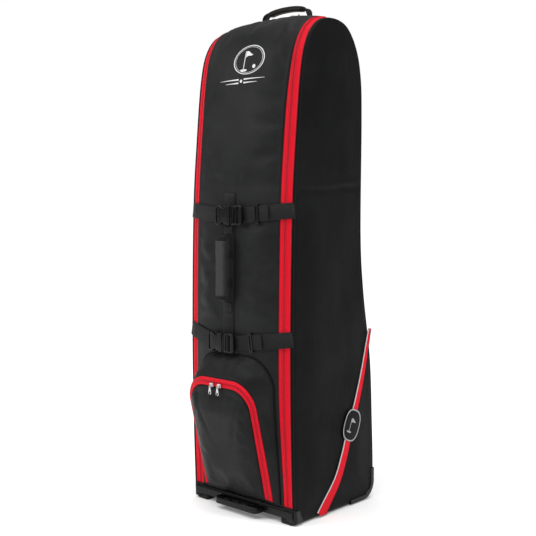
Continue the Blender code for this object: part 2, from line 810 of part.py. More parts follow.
def build_base():
    tray = box("base_tray", (-EDGE_X, TRAY_Y[0], TRAY_Z[0]), (EDGE_X, TRAY_Y[1], TRAY_Z[1]), PLASTIC)
    cut_box(
        tray,
        (-EDGE_X + TRAY_WALL, TRAY_Y[0] + TRAY_WALL, TRAY_Z[0] + TRAY_WALL),
        (EDGE_X - TRAY_WALL, TRAY_Y[1] - TRAY_WALL, TRAY_Z[1] + 0.02),
    )
    for sign in SIDES.values():
        inner, outer = sorted((sign * 0.1015, sign * (EDGE_X + 0.01)))
        cut_box(tray, (inner, HOUSING_Y[0] - 0.004, 0.0), (outer, 0.20, 0.06))

    bar = box("front_foot_bar", (-0.073, -0.189, 0.0135), (0.073, TRAY_Y[0] - GAP, 0.0305), PLASTIC, 0.003)
    cut_box(bar, (-0.057, -0.174, 0.0), (0.057, TRAY_Y[0] + 0.01, 0.04))
    for side, sign in SIDES.items():
        low_x, high_x = sorted((sign * 0.126, sign * EDGE_X))
        box(f"corner_foot_{side}", (low_x, -0.158, 0.0), (high_x, -0.112, TRAY_Z[0] - GAP), RUBBER, 0.004)


def build_wheel(side, sign):
    low_x, high_x = sorted(sign * x for x in HOUSING_X)
    housing = box(
        f"wheel_housing_{side}", (low_x, HOUSING_Y[0], HOUSING_Z[0]), (high_x, HOUSING_Y[1], HOUSING_Z[1]), PLASTIC
    )
    low_x, high_x = sorted((sign * 0.1245, sign * 0.1555))
    cut_box(housing, (low_x, HOUSING_Y[0] + 0.0035, -0.01), (high_x, 0.20, HOUSING_Z[1] - 0.003))
    chamfer = cutter(box(f"{housing.name}_corner", (-0.2, -0.03, -0.03), (0.2, 0.03, 0.03), None))
    chamfer.location = (0, HOUSING_Y[1] + 0.012, HOUSING_Z[0] - 0.012)
    chamfer.rotation_euler = (math.pi / 4, 0, 0)
    boolean(housing, chamfer)
    hole = cylinder(f"{housing.name}_hole", AXLE_RADIUS + 0.0004, (-0.2, 0.2), WHEEL_Y, WHEEL_RADIUS, None)
    boolean(housing, cutter(hole))
    head = sorted((sign * 0.1640, sign * 0.18))
    boolean(housing, cutter(cylinder(f"{housing.name}_seat", 0.0078, head, WHEEL_Y, WHEEL_RADIUS, None)))

    centre = (sign * WHEEL_X, WHEEL_Y, WHEEL_RADIUS)
    half = WHEEL_HALF_WIDTH
    tyre = [
        (0.0240, half - 0.001),
        (0.0310, half),
        (0.0355, 0.0085),
        (WHEEL_RADIUS, 0.0035),
        (WHEEL_RADIUS, -0.0035),
        (0.0355, -0.0085),
        (0.0310, -half),
        (0.0240, -half + 0.001),
    ]
    turned(f"wheel_tyre_{side}", tyre, centre, RUBBER)
    seat = BEARING_RADIUS + 0.0003
    rib = half - BEARING_WIDTH - 0.0002
    hub = [
        (seat, half),
        (0.0237, half - 0.002),
        (0.0237, -half + 0.002),
        (seat, -half),
        (seat, -rib),
        (0.0085, -rib),
        (0.0085, rib),
        (seat, rib),
    ]
    turned(f"wheel_hub_{side}", hub, centre, HUB_PLASTIC, 24)
    bore = AXLE_RADIUS + 0.0003
    for place_name, direction in (("outer", 1), ("inner", -1)):
        width = BEARING_WIDTH / 2
        middle = sign * direction * (half - width)
        ring = [(BEARING_RADIUS, width), (BEARING_RADIUS, -width), (bore, -width), (bore, width)]
        spot = (centre[0] + middle, centre[1], centre[2])
        turned(f"wheel_bearing_{place_name}_{side}", ring, spot, METAL, 24)
    bolt = [
        (0, 0.1675),
        (0.0072, 0.1675),
        (0.0072, 0.1643),
        (AXLE_RADIUS, 0.1643),
        (AXLE_RADIUS, 0.1085),
        (0.0062, 0.1085),
        (0.0062, 0.1040),
        (0, 0.1040),
    ]
    if sign < 0:
        bolt = [(radius, -along) for radius, along in reversed(bolt)]
    turned(f"axle_bolt_{side}", bolt, (0, WHEEL_Y, WHEEL_RADIUS), METAL, 24, closed=False)


def build_inner_straps():
    """The webbing inside that holds the golf bag against the rear panel."""
    s = rear_s(0.62)
    heights = (-PANEL - 0.0013, -PANEL - 0.003)
    for side, sign in SIDES.items():
        span = (sign * 0.004, sign * (EDGE_X - 0.004))
        strip(f"inner_strap_{side}", (s - 0.0125, s + 0.0125), span, heights, 1, 6, WEB)


build_hood()
build_front()
zip_band("body_zip", S_BOTTOM, 24, (GAP / 2, ZIP_OUTER))
build_rear()
build_side_panels()
build_side_stripes()
build_pocket()
for strap in STRAP_Z:
    build_strap(strap)
build_front_handle()
build_top_handle()
build_main_sliders()
build_pocket_sliders()
build_base()
for wheel_side, wheel_sign in SIDES.items():
    build_wheel(wheel_side, wheel_sign)
build_inner_straps()
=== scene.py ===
"""The looks of the wheeled golf travel case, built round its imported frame."""

import math
from contextlib import contextmanager

import bmesh
import bpy
import numpy as np
from mathutils import Matrix, Vector
from mathutils.bvhtree import BVHTree


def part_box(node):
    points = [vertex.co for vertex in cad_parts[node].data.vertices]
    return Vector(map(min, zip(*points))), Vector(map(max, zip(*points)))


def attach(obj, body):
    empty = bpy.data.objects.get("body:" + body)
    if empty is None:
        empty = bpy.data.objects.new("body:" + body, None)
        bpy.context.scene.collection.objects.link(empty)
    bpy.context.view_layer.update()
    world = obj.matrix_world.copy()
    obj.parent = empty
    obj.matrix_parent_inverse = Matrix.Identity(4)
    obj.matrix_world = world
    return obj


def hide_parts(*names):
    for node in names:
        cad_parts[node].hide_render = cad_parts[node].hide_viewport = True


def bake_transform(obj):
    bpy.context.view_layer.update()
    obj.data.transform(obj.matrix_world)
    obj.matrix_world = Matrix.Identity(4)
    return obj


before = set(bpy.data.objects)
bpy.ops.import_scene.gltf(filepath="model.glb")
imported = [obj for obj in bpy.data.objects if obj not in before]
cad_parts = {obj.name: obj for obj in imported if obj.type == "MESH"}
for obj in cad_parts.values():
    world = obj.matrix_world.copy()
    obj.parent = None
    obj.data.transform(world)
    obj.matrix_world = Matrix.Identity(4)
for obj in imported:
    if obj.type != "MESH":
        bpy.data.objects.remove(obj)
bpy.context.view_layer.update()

SHIFT = (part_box("base_tray")[0].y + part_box("base_tray")[1].y) / 2 + 0.001  # the shell's mid-plane in Y

# The shell's outline, (y, z), up the front, over the crown and down the back
PROFILE = (
    (-0.1575, 0.0385),
    (-0.163, 0.20),
    (-0.166, 0.45),
    (-0.160, 0.76),
    (-0.147, 0.94),
    (-0.131, 1.09),
    (-0.111, 1.163),
    (-0.074, 1.207),
    (-0.020, 1.2215),
    (0.034, 1.209),
    (0.073, 1.161),
    (0.093, 1.090),
    (0.098, 0.98),
    (0.097, 0.70),
    (0.110, 0.55),
    (0.141, 0.37),
    (0.152, 0.20),
    (0.1565, 0.10),
    (0.1565, 0.0385),
)
EDGE_X = 0.1685  # the edges of the strip that makes the front, the crown and the back
HALF_WIDTH = 0.1755  # the side panels' outer faces
FRONT_BULGE, CROWN_BULGE, REAR_BULGE = 0.028, 0.0192, 0.008
ZIP_X, ZIP_CORNER = 0.1525, 0.026  # the main zip's middle, and the radius of its corners
HEM, HEM_TOP = 0.0125, 0.0080  # how much of the hood's tape shows, low down and at the crown
FOLD_Z = 0.815
PANEL = 0.005
COLUMN_X = -0.012  # the vertical webbing that the front handle is sewn to
COLUMN_Z = (0.41, 0.81)
SHELL_FOOT = 0.0385  # the lower edge of the front and back
SIDE_FOOT = 0.004  # the lower edge of the side panels
HEEL_Y, HEEL_Z, HEEL_RADIUS = 0.1575, 0.046, 0.042  # the side panels' rounded rear corner
STRAP_Z = {"upper": 0.758, "lower": 0.453}
STRAP_SAG = {"upper": 0.013, "lower": 0.020}
BUCKLE_X = {"upper": 0.000, "lower": -0.023}
BUCKLE_HALF = 0.043
KEEPER_X = {"upper": 0.080, "lower": 0.066}
SIDES = {"left": -1, "right": 1}
EDGES = {"low": -1, "high": 1}
STRAP_WIDTH, STRAP_THICK, STRAP_END = 0.038, 0.0017, 0.1735
RAIL_X = 0.072
STUDIO_LIGHT = 0.30
CENTRE = np.array([0, SHIFT - 0.01, 0.6])

scene = bpy.context.scene


# ------------------------------------------------------------- the shell's surface


def smooth(t):
    """0 below 0, 1 above 1, and an S-shaped step between them."""
    t = np.clip(t, 0, 1)
    return t * t * (3 - 2 * t)


def lengths(path):
    """How far along the path each of its points is."""
    return np.concatenate([[0], np.cumsum(np.linalg.norm(np.diff(path, axis=0), axis=1))])


def curve_point(a, b, c, d, t):
    """The point at share t from b to c of a smooth curve through all four points."""
    return 0.5 * (2 * b + (c - a) * t + (2 * a - 5 * b + 4 * c - d) * t**2 + (3 * b - a - 3 * c + d) * t**3)


def outline_table(points, per_span=60):
    """Tables of length, y and z along a smooth curve through the outline's points."""
    known = np.array([points[0], *points, points[-1]])
    fine = []
    for i in range(len(points) - 1):
        fine += [curve_point(*known[i : i + 4], t) for t in np.arange(per_span) / per_span]
    fine = np.array([*fine, known[-1]])
    return np.concatenate([[0], np.cumsum(np.hypot(*np.diff(fine, axis=0).T))]), fine[:, 0], fine[:, 1]


S_TABLE, Y_TABLE, Z_TABLE = outline_table(PROFILE)
S_END = S_TABLE[-1]
TOP = int(np.argmax(Z_TABLE))
S_CROWN = S_TABLE[TOP]


def front_s(z):
    """The length along the outline at height z on the front."""
    return np.interp(z, Z_TABLE[:TOP], S_TABLE[:TOP])


def rear_s(z):
    """The length along the outline at height z on the back."""
    return np.interp(-np.asarray(z, float), -Z_TABLE[TOP:], S_TABLE[TOP:])


def crown_s(y):
    """The length along the outline at depth y on the crown."""
    return np.interp(y, Y_TABLE[TOP - 150 : TOP + 150], S_TABLE[TOP - 150 : TOP + 150])


def bulge(s, x):
    """How far the padded shell swells out of the outline."""
    back = smooth((s - S_CROWN) / 0.30)
    front = FRONT_BULGE + (CROWN_BULGE - FRONT_BULGE) * smooth((s - 0.90) / (S_CROWN - 0.90))
    swell = front * (1 - back) + REAR_BULGE * back
    return smooth(s / 0.30) * smooth((S_END - s) / 0.25) * swell * (1 - np.abs(x / EDGE_X) ** 3)


def surf(s, x, height=0.0):
    """Points height outside the strip's outer face, at s along the outline and x across."""
    s, x, height = np.broadcast_arrays(*(np.asarray(k, float) for k in (s, x, height)))
    low, high = np.clip(s - 0.006, 0, S_END), np.clip(s + 0.006, 0, S_END)
    run = np.interp(high, S_TABLE, Y_TABLE) - np.interp(low, S_TABLE, Y_TABLE)
    rise = np.interp(high, S_TABLE, Z_TABLE) - np.interp(low, S_TABLE, Z_TABLE)
    length = np.hypot(run, rise)
    away = bulge(s, x) + height
    y = np.interp(s, S_TABLE, Y_TABLE) - rise / length * away
    z = np.interp(s, S_TABLE, Z_TABLE) + run / length * away
    return np.stack([x, y + SHIFT, z], -1)


S_FOLD = front_s(FOLD_Z)
S_CROSS = crown_s(-0.008)
S_TURN = S_CROSS - ZIP_CORNER
TURN_X = ZIP_X - ZIP_CORNER


def zip_line(first, offsets, step=0.006):
    """(s, x, distance) arrays for both legs of the main zip and the run across the crown."""
    leg = int((S_TURN - first) / step)
    offsets = np.asarray(offsets, float)[None, :]
    reach = ZIP_CORNER + offsets
    angles = np.linspace(0, math.pi / 2, 14, endpoint=False)[:, None]
    ones = np.ones_like(offsets)
    s = [np.linspace(first, S_TURN, leg, endpoint=False)[:, None] * ones, S_TURN + reach * np.sin(angles)]
    x = [(ZIP_X + offsets) * np.ones((leg, 1)), TURN_X + reach * np.cos(angles)]
    across = np.linspace(TURN_X, 0, 20)[:, None]
    s.append((S_CROSS + offsets) * np.ones_like(across))
    x.append(across * ones)
    s, x = np.concatenate(s), np.concatenate(x)
    s, x = np.concatenate([s, s[-2::-1]]), np.concatenate([-x, x[-2::-1]])
    middle = surf(s[:, 0], x[:, 0])
    along = lengths(middle)
    return s, x, along


# ------------------------------------------------------------- materials


class Nodes:
    """A short way to write a Principled material's node tree."""

    def __init__(self, name, base, rough, metallic=0.0, **inputs):
        self.mat = bpy.data.materials.new(name)
        self.mat.use_nodes = True
        self.tree = self.mat.node_tree
        self.shader = self.tree.nodes["Principled BSDF"]
        self.shader.inputs["Base Color"].default_value = (*base, 1)
        self.shader.inputs["Roughness"].default_value = rough
        self.shader.inputs["Metallic"].default_value = metallic
        for key, value in inputs.items():
            self.shader.inputs[key.replace("_", " ")].default_value = value
        self.uv = self.node("ShaderNodeTexCoord").outputs["UV"]
        self.solid = self.tree.nodes["Texture Coordinate"].outputs["Object"]

    def node(self, kind, **settings):
        made = self.tree.nodes.new(kind)
        for key, value in settings.items():
            setattr(made, key, value)
        return made

    def link(self, a, b):
        self.tree.links.new(a, b)

    def math(self, kind, a, b=0.0):
        made = self.node("ShaderNodeMath", operation=kind)
        for socket, value in zip(made.inputs, (a, b)):
            if isinstance(value, (int, float)):
                socket.default_value = value
            else:
                self.link(value, socket)
        return made.outputs[0]

    def split(self, vector=None):
        made = self.node("ShaderNodeSeparateXYZ")
        self.link(vector or self.uv, made.inputs[0])
        return made.outputs[0], made.outputs[1]

    def ribs(self, coordinate, pitch):
        """A wave from -1 to 1 that repeats every pitch metres."""
        return self.math("SINE", self.math("MULTIPLY", coordinate, 2 * math.pi / pitch))

    def noise(self, scale, detail=3.0, vector=None, stretch=(1, 1, 1), roughness=0.55):
        mapping = self.node("ShaderNodeMapping")
        mapping.inputs["Scale"].default_value = stretch
        self.link(vector or self.solid, mapping.inputs["Vector"])
        made = self.node("ShaderNodeTexNoise")
        made.inputs["Scale"].default_value = scale
        made.inputs["Detail"].default_value = detail
        made.inputs["Roughness"].default_value = roughness
        self.link(mapping.outputs[0], made.inputs["Vector"])
        return made.outputs["Fac"]

    def scale(self, value, low, high, start=0.0, end=1.0):
        made = self.node("ShaderNodeMapRange")
        self.link(value, made.inputs[0])
        for k, setting in enumerate((start, end, low, high)):
            made.inputs[k + 1].default_value = setting
        return made.outputs[0]

    def colour(self, value, dark, light):
        made = self.node("ShaderNodeMix", data_type="RGBA")
        self.link(value, made.inputs[0])
        made.inputs[6].default_value = (*dark, 1)
        made.inputs[7].default_value = (*light, 1)
        self.link(made.outputs[2], self.shader.inputs["Base Color"])

    def rough(self, value, low, high):
        self.link(self.scale(value, low, high), self.shader.inputs["Roughness"])

    def bump(self, height, distance, strength=1.0):
        made = self.node("ShaderNodeBump")
        made.inputs["Distance"].default_value = distance
        made.inputs["Strength"].default_value = strength
        self.link(height, made.inputs["Height"])
        normal = self.shader.inputs["Normal"]
        if normal.is_linked:
            self.link(normal.links[0].from_socket, made.inputs["Normal"])
        self.link(made.outputs[0], normal)


def polyester(name, dark, light, rough, crease=0.0016, gloss=0.10):
    """Coated plain-weave polyester: fine weave, soft creases and uneven gloss."""
    m = Nodes(name, dark, rough, Sheen_Weight=0.01, Sheen_Roughness=0.4, Specular_IOR_Level=gloss)
    u, v = m.split()
    weave = m.math("MULTIPLY", m.ribs(u, 0.0011), m.ribs(v, 0.0011))
    patch = m.noise(7.0, 4.0)
    m.colour(m.scale(patch, 0, 1, 0.32, 0.7), dark, light)
    m.rough(m.noise(11.0, 3.0), rough - 0.07, rough + 0.10)
    m.bump(weave, 0.00005)
    m.bump(m.noise(16.0, 5.0, stretch=(1, 1, 0.45)), crease)
    m.bump(m.noise(75.0, 4.0), crease * 0.22)
    return m.mat


def zip_tape(name, dark, light):
    """Woven zip tape: fine ribs along it and a fainter weave across."""
    m = Nodes(name, dark, 0.5, Specular_IOR_Level=0.12)
    u, v = m.split()
    ribs = m.ribs(v, 0.0016)
    weave = m.ribs(
        m.math("ADD", u, m.math("MULTIPLY", m.math("ABSOLUTE", m.ribs(v, 0.0032)), 0.0006)), 0.0012
    )
    m.colour(m.scale(m.math("ADD", ribs, m.math("MULTIPLY", m.noise(40), 1.4)), 0, 1, -0.6, 1.8), dark, light)
    m.rough(m.noise(30.0), 0.42, 0.6)
    m.bump(ribs, 0.00012)
    m.bump(weave, 0.00006)
    return m.mat


def zip_coil(name, dark, light):
    """The coil under its knitted cord: one slanted rib for each tooth."""
    m = Nodes(name, dark, 0.42, Specular_IOR_Level=0.2)
    u, v = m.split()
    teeth = m.ribs(m.math("ADD", u, m.math("MULTIPLY", v, 0.5)), 0.0022)
    m.colour(m.scale(teeth, 0, 1, -1, 1), dark, light)
    m.rough(m.noise(60.0), 0.35, 0.5)
    m.bump(teeth, 0.0004)
    return m.mat


def webbing(name, dark, light):
    """Ribbed webbing: rows of chevrons across the width."""
    m = Nodes(name, dark, 0.6, Sheen_Weight=0.03, Sheen_Roughness=0.35, Specular_IOR_Level=0.18)
    u, v = m.split()
    zigzag = m.math("MULTIPLY", m.math("ABSOLUTE", m.ribs(v, 0.0076)), 0.0016)
    chevron = m.ribs(m.math("ADD", u, zigzag), 0.0021)
    rows = m.ribs(v, 0.0019)
    m.colour(m.scale(m.math("ADD", chevron, m.noise(60)), 0, 1, -0.6, 1.8), dark, light)
    m.rough(m.noise(25.0), 0.52, 0.7)
    m.bump(chevron, 0.00022)
    m.bump(rows, 0.00012)
    return m.mat


def moulded(name, dark, light, rough, grain=260.0, depth=0.00008):
    """Moulded plastic or rubber with a spark-eroded grain and scuffs."""
    m = Nodes(name, dark, rough, Specular_IOR_Level=0.22)
    m.colour(m.scale(m.noise(22.0, 4.0), 0, 1, 0.35, 0.75), dark, light)
    m.rough(m.noise(35.0, 5.0), rough - 0.08, rough + 0.14)
    m.bump(m.noise(grain, 2.0), depth)
    m.bump(m.noise(18.0, 2.0), depth * 2)
    return m.mat


def metal(name, base, rough):
    m = Nodes(name, base, rough, 1.0)
    m.colour(m.scale(m.noise(120.0, 4.0), 0, 1, 0.3, 0.7), tuple(k * 0.8 for k in base), base)
    m.rough(m.noise(300.0, 3.0, stretch=(1, 1, 6)), rough - 0.06, rough + 0.12)
    m.bump(m.noise(500.0, 2.0), 0.00002)
    return m.mat


def quilted(name, dark, light):
    """Foam-backed lining with a diamond quilt."""
    m = Nodes(name, dark, 0.8, Sheen_Weight=0.3)
    u, v = m.split()
    a = m.math("ABSOLUTE", m.ribs(m.math("ADD", u, v), 0.08))
    b = m.math("ABSOLUTE", m.ribs(m.math("SUBTRACT", u, v), 0.08))
    m.colour(m.scale(m.noise(30.0, 4.0), 0, 1, 0.3, 0.7), dark, light)
    m.bump(m.math("POWER", m.math("MINIMUM", a, b), 0.35), 0.003)
    m.bump(m.math("MULTIPLY", m.ribs(u, 0.0018), m.ribs(v, 0.0018)), 0.0001)
    return m.mat


def thread(name, base):
    m = Nodes(name, base, 0.5, Sheen_Weight=0.3)
    m.colour(m.noise(900.0, 2.0), tuple(k * 0.7 for k in base), base)
    m.bump(m.noise(1500.0, 1.0), 0.0001)
    return m.mat


BLACK = polyester("black_polyester", (0.0075, 0.0077, 0.0079), (0.0150, 0.0153, 0.0156), 0.40)
# painted shade: the same polyester, darker and with less gloss, for the side panels, standing in for the
# light falling off on the sides
BLACK_PAINTED_SHADE = polyester(
    "black_polyester_painted_shade", (0.0035, 0.0036, 0.0037), (0.0075, 0.0077, 0.0079), 0.42, gloss=0.05
)
BINDING = polyester("binding", (0.0040, 0.0040, 0.0040), (0.0070, 0.0070, 0.0070), 0.5, 0.0003)
LINING = quilted("grey_lining", (0.035, 0.035, 0.037), (0.055, 0.055, 0.058))
TAPE = zip_tape("red_tape", (0.62, 0.0020, 0.014), (0.80, 0.0040, 0.022))
COIL = zip_coil("red_coil", (0.36, 0.0010, 0.009), (0.62, 0.0030, 0.018))
WEB = webbing("black_webbing", (0.0050, 0.0050, 0.0054), (0.0140, 0.0140, 0.0148))
# painted light: a lighter copy of the webbing for the front handle's grip, standing in for the light on its
# front
PAINTED_LIGHT_GRIP = webbing("grip_webbing_painted_light", (0.0240, 0.0240, 0.0250), (0.0460, 0.0460, 0.0475))
# painted shadow: a near-black copy of the webbing, laid in the hole behind the front handle's grip where
# shade falls
PAINTED_SHADOW_WEB = webbing("painted_shadow_webbing", (0.0008, 0.0008, 0.0008), (0.0016, 0.0016, 0.0016))
PLASTIC = moulded("black_plastic", (0.0022, 0.0022, 0.0023), (0.0042, 0.0042, 0.0044), 0.24)
RUBBER = moulded("black_rubber", (0.0050, 0.0050, 0.0050), (0.0100, 0.0100, 0.0100), 0.5, 180.0, 0.0001)
HUB = moulded("grey_plastic", (0.045, 0.046, 0.048), (0.065, 0.066, 0.068), 0.45)
NICKEL = metal("nickel", (0.62, 0.62, 0.61), 0.26)
SILVER = zip_tape("silver_piping", (0.52, 0.52, 0.53), (0.68, 0.68, 0.69))
WHITE = thread("white_print", (0.74, 0.74, 0.74))
GREY = thread("grey_print", (0.36, 0.36, 0.37))
BLACK_THREAD = thread("black_thread", (0.022, 0.022, 0.023))
RED_THREAD = thread("red_thread", (0.55, 0.004, 0.02))


# ------------------------------------------------------------- making pieces


def piece(name, mesh, mats, body, instead_of=(), smooth_angle=40):
    """Makes the object, and sets its materials, its body and the CAD nodes that it stands for."""
    obj = bpy.data.objects.new(name, mesh)
    scene.collection.objects.link(obj)
    for one in mats if isinstance(mats, (list, tuple)) else [mats]:
        obj.data.materials.append(one)
    if smooth_angle:
        obj.data.shade_smooth()
        if smooth_angle < 180:
            obj.data.set_sharp_from_angle(angle=math.radians(smooth_angle))
    if body:
        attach(obj, body)
    if instead_of:
        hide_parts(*instead_of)
    return obj


def grid_mesh(name, points, uv, inside=None, outside=None, wrap=False):
    """A quad grid. Its faces turn away from the point inside, or towards outside."""
    m, n = points.shape[:2]
    mesh = bpy.data.meshes.new(name)
    index = np.arange(m * n).reshape(m, n)
    if wrap:
        index = np.concatenate([index, index[:1]])
    faces = np.stack([index[:-1, :-1], index[1:, :-1], index[1:, 1:], index[:-1, 1:]], -1).reshape(-1, 4)
    flat = points.reshape(-1, 3)
    normal = np.cross(flat[faces[:, 2]] - flat[faces[:, 0]], flat[faces[:, 3]] - flat[faces[:, 1]])
    towards = flat[faces].mean(1) - (CENTRE if inside is None else np.asarray(inside))
    if outside is not None:
        towards = np.asarray(outside) * np.ones_like(towards)
    if (normal * towards).sum() < 0:
        faces = faces[:, ::-1]
    mesh.from_pydata(flat.tolist(), [], faces.tolist())
    layer = mesh.uv_layers.new(name="UVMap")
    flat_uv = uv.reshape(-1, 2)
    layer.data.foreach_set("uv", flat_uv[faces.ravel()].astype(np.float32).ravel())
    return mesh


@contextmanager
def edited(mesh):
    """The mesh as a bmesh, which is written back at the end."""
    bm = bmesh.new()
    bm.from_mesh(mesh)
    yield bm
    bm.to_mesh(mesh)
    bm.free()


def cross_uv(u, v):
    """The UVs of a grid whose rows are at u and whose columns are at v."""
    return np.stack(np.broadcast_arrays(np.asarray(u)[:, None], np.asarray(v)), -1)


def grid_normals(points, inside):
    """The normals of a grid of points, away from the point inside."""
    normal = unit(np.cross(np.gradient(points, axis=0), np.gradient(points, axis=1)))
    return -normal if ((points - np.array(inside)) * normal).sum() < 0 else normal


def close_ends(mesh):
    """Fills a tube's two open ends."""
    with edited(mesh) as bm:
        bmesh.ops.holes_fill(bm, edges=[e for e in bm.edges if e.is_boundary])
        bmesh.ops.recalc_face_normals(bm, faces=bm.faces[:])


def solid(obj, thickness, inner=None):
    """Gives an open sheet its thickness, inwards, with the inner material on the back."""
    made = obj.modifiers.new("thickness", "SOLIDIFY")
    made.thickness = thickness
    made.offset = -1
    made.use_even_offset = False
    if inner is not None:
        obj.data.materials.append(inner)
        made.material_offset = 1
    return obj


def puff(mesh, pin, cap, pressure=1.5, grow=0.012, bend=3.0, frames=22):
    """Settles a sheet as cloth, a little too big for its frame and pushed out from inside.

    pin is 1 where the sheet is sewn, and no point moves further than cap."""
    obj = bpy.data.objects.new("settling", mesh)
    scene.collection.objects.link(obj)
    rest = np.empty(len(mesh.vertices) * 3)
    mesh.vertices.foreach_get("co", rest)
    rest = rest.reshape(-1, 3)
    pin = pin.ravel()
    group = obj.vertex_groups.new(name="sewn")
    for i in np.nonzero(pin > 0.01)[0]:
        group.add([int(i)], float(pin[i]), "REPLACE")
    cloth = obj.modifiers.new("cloth", "CLOTH")
    settings = cloth.settings
    settings.quality = 6
    settings.mass = 0.4
    settings.tension_stiffness = settings.compression_stiffness = 20
    settings.shear_stiffness = 8
    settings.bending_stiffness = bend
    settings.air_damping = 2
    settings.vertex_group_mass = "sewn"
    settings.use_pressure = True
    settings.uniform_pressure_force = pressure
    settings.shrink_min = -grow
    settings.effector_weights.gravity = 0
    cloth.collision_settings.use_collision = False
    cloth.collision_settings.use_self_collision = False
    cloth.point_cache.frame_start, cloth.point_cache.frame_end = 1, frames
    for step in range(1, frames + 1):
        scene.frame_set(step)
    settled = obj.evaluated_get(bpy.context.evaluated_depsgraph_get()).to_mesh()
    after = np.empty(len(mesh.vertices) * 3)
    settled.vertices.foreach_get("co", after)
    move = after.reshape(-1, 3) - rest
    far = np.linalg.norm(move, axis=1, keepdims=True)
    move *= cap * np.tanh(far / cap) / np.maximum(far, 1e-9)
    obj.modifiers.clear()
    bpy.data.objects.remove(obj)
    scene.frame_set(1)
    mesh.vertices.foreach_set("co", (rest + move * (1 - pin[:, None])).ravel())
    mesh.update()
    return mesh


def sweep(name, path, side, normal, section, mat, body, instead_of=(), angle=50, closed=False):
    """A closed section, (across, out) points, carried along a path."""
    path, side, normal = (np.asarray(k, float) for k in (path, side, normal))
    side = np.broadcast_to(side, path.shape)
    normal = np.broadcast_to(normal, path.shape)
    section = np.asarray(section, float)
    if section.ndim == 2:
        section = np.broadcast_to(section, (len(path), *section.shape))
    rings = path[:, None] + side[:, None] * section[..., :1] + normal[:, None] * section[..., 1:]
    m, k = rings.shape[:2]
    along = lengths(path)
    bm = bmesh.new()
    uv = bm.loops.layers.uv.new("UVMap")
    verts = [[bm.verts.new(p) for p in ring] for ring in rings]
    for i in range(m if closed else m - 1):
        for j in range(k):
            nxt, jn = (i + 1) % m, (j + 1) % k
            face = bm.faces.new((verts[i][j], verts[nxt][j], verts[nxt][jn], verts[i][jn]))
            corners = ((i, j), (i + 1, j), (i + 1, jn), (i, jn))
            for loop, (a, b) in zip(face.loops, corners):
                loop[uv].uv = (along[min(a, m - 1)], section[a % m][b][0])
    if not closed:
        for i in (0, m - 1):
            face = bm.faces.new(verts[i])
            for loop, point in zip(face.loops, section[i]):
                loop[uv].uv = (along[i], point[0])
    bmesh.ops.recalc_face_normals(bm, faces=bm.faces[:])
    mesh = bpy.data.meshes.new(name)
    bm.to_mesh(mesh)
    bm.free()
    return piece(name, mesh, mat, body, instead_of, angle)


def flat_section(width, thick, edge=0.0006):
    """A webbing's section, centred across, standing on its back face."""
    w, e = width / 2, min(edge, thick / 2.2)
    return [
        (-w, e), (-w, thick - e), (-w + e, thick), (0, thick), (w - e, thick), (w, thick - e), (w, e),
        (w - e, 0), (0, 0), (-w + e, 0),
    ]


def round_section(radius, count=10, flat=1.0):
    turn = np.linspace(0, 2 * math.pi, count, endpoint=False)
    return np.stack([radius * np.cos(turn), radius * flat * np.sin(turn)], -1)


def unit(v):
    v = np.asarray(v, float)
    return v / np.linalg.norm(v, axis=-1, keepdims=True)


def tangents(path):
    return unit(np.gradient(np.asarray(path, float), axis=0))


def frames_along(path, up):
    """(side, normal) along a path: the normal stays as near up as it can."""
    along = tangents(path)
    up = np.broadcast_to(np.asarray(up, float), along.shape)
    side = unit(np.cross(along, up))
    return side, unit(np.cross(side, along))


def spline(points, count=60):
    """A smooth path through the points."""
    points = np.asarray(points, float)
    known = np.concatenate([points[:1], points, points[-1:]])
    out = []
    for i in range(len(points) - 1):
        shares = np.linspace(0, 1, max(2, count // (len(points) - 1)), endpoint=False)
        out += [curve_point(*known[i : i + 4], t) for t in shares]
    return np.array([*out, points[-1]])


def strip_frame(s, x, height=0.0):
    """(point, across, up, out) of the shell at s, x."""
    across = unit(surf(s, x + 0.004) - surf(s, x - 0.004))
    up = unit(surf(s + 0.004, x) - surf(s - 0.004, x))
    out = unit(np.cross(across, up))
    if (out * (surf(s, x, 0.01) - surf(s, x))).sum() < 0:
        out = -out
    return surf(s, x, height), across, up, out


def merge(name, chunks, mat, body, instead_of=(), angle=40):
    """One mesh from several (vertices, faces) chunks."""
    verts, faces = [], []
    for v, f in chunks:
        faces += [[k + len(verts) for k in face] for face in f]
        verts += [tuple(p) for p in v]
    mesh = bpy.data.meshes.new(name)
    mesh.from_pydata(verts, [], faces)
    with edited(mesh) as bm:
        bmesh.ops.recalc_face_normals(bm, faces=bm.faces[:])
    return piece(name, mesh, mat, body, instead_of, angle)


def stitches(name, rows, mat, body, pitch=0.0036, long=0.0024, wide=0.0007, high=0.0004):
    """Rows of thread stitches. Each row is (points, outward directions)."""
    chunks = []
    for points, out in rows:
        points = np.asarray(points, float)
        out = np.broadcast_to(np.asarray(out, float), points.shape)
        along = lengths(points)
        for at in np.arange(pitch / 2, along[-1], pitch):
            p = np.array([np.interp(at, along, points[:, k]) for k in range(3)])
            q = np.array([np.interp(at + 1e-4, along, points[:, k]) for k in range(3)])
            n = unit(np.array([np.interp(at, along, out[:, k]) for k in range(3)]))
            if np.linalg.norm(q - p) < 1e-9:
                continue
            t = unit(q - p)
            w = np.cross(n, t)
            ring = []
            for a, h in ((-0.5, 0.1), (-0.3, 0.9), (0.3, 0.9), (0.5, 0.1)):
                for b in (-0.5, 0.5):
                    ring.append(p + t * a * long + w * b * wide * (1 if abs(a) < 0.4 else 0.5) + n * h * high)
            faces = [(0, 1, 3, 2), (2, 3, 5, 4), (4, 5, 7, 6), (0, 2, 4, 6), (1, 7, 5, 3), (0, 6, 7, 1)]
            chunks.append((ring, faces))
    return merge(name, chunks, mat, body, angle=0)


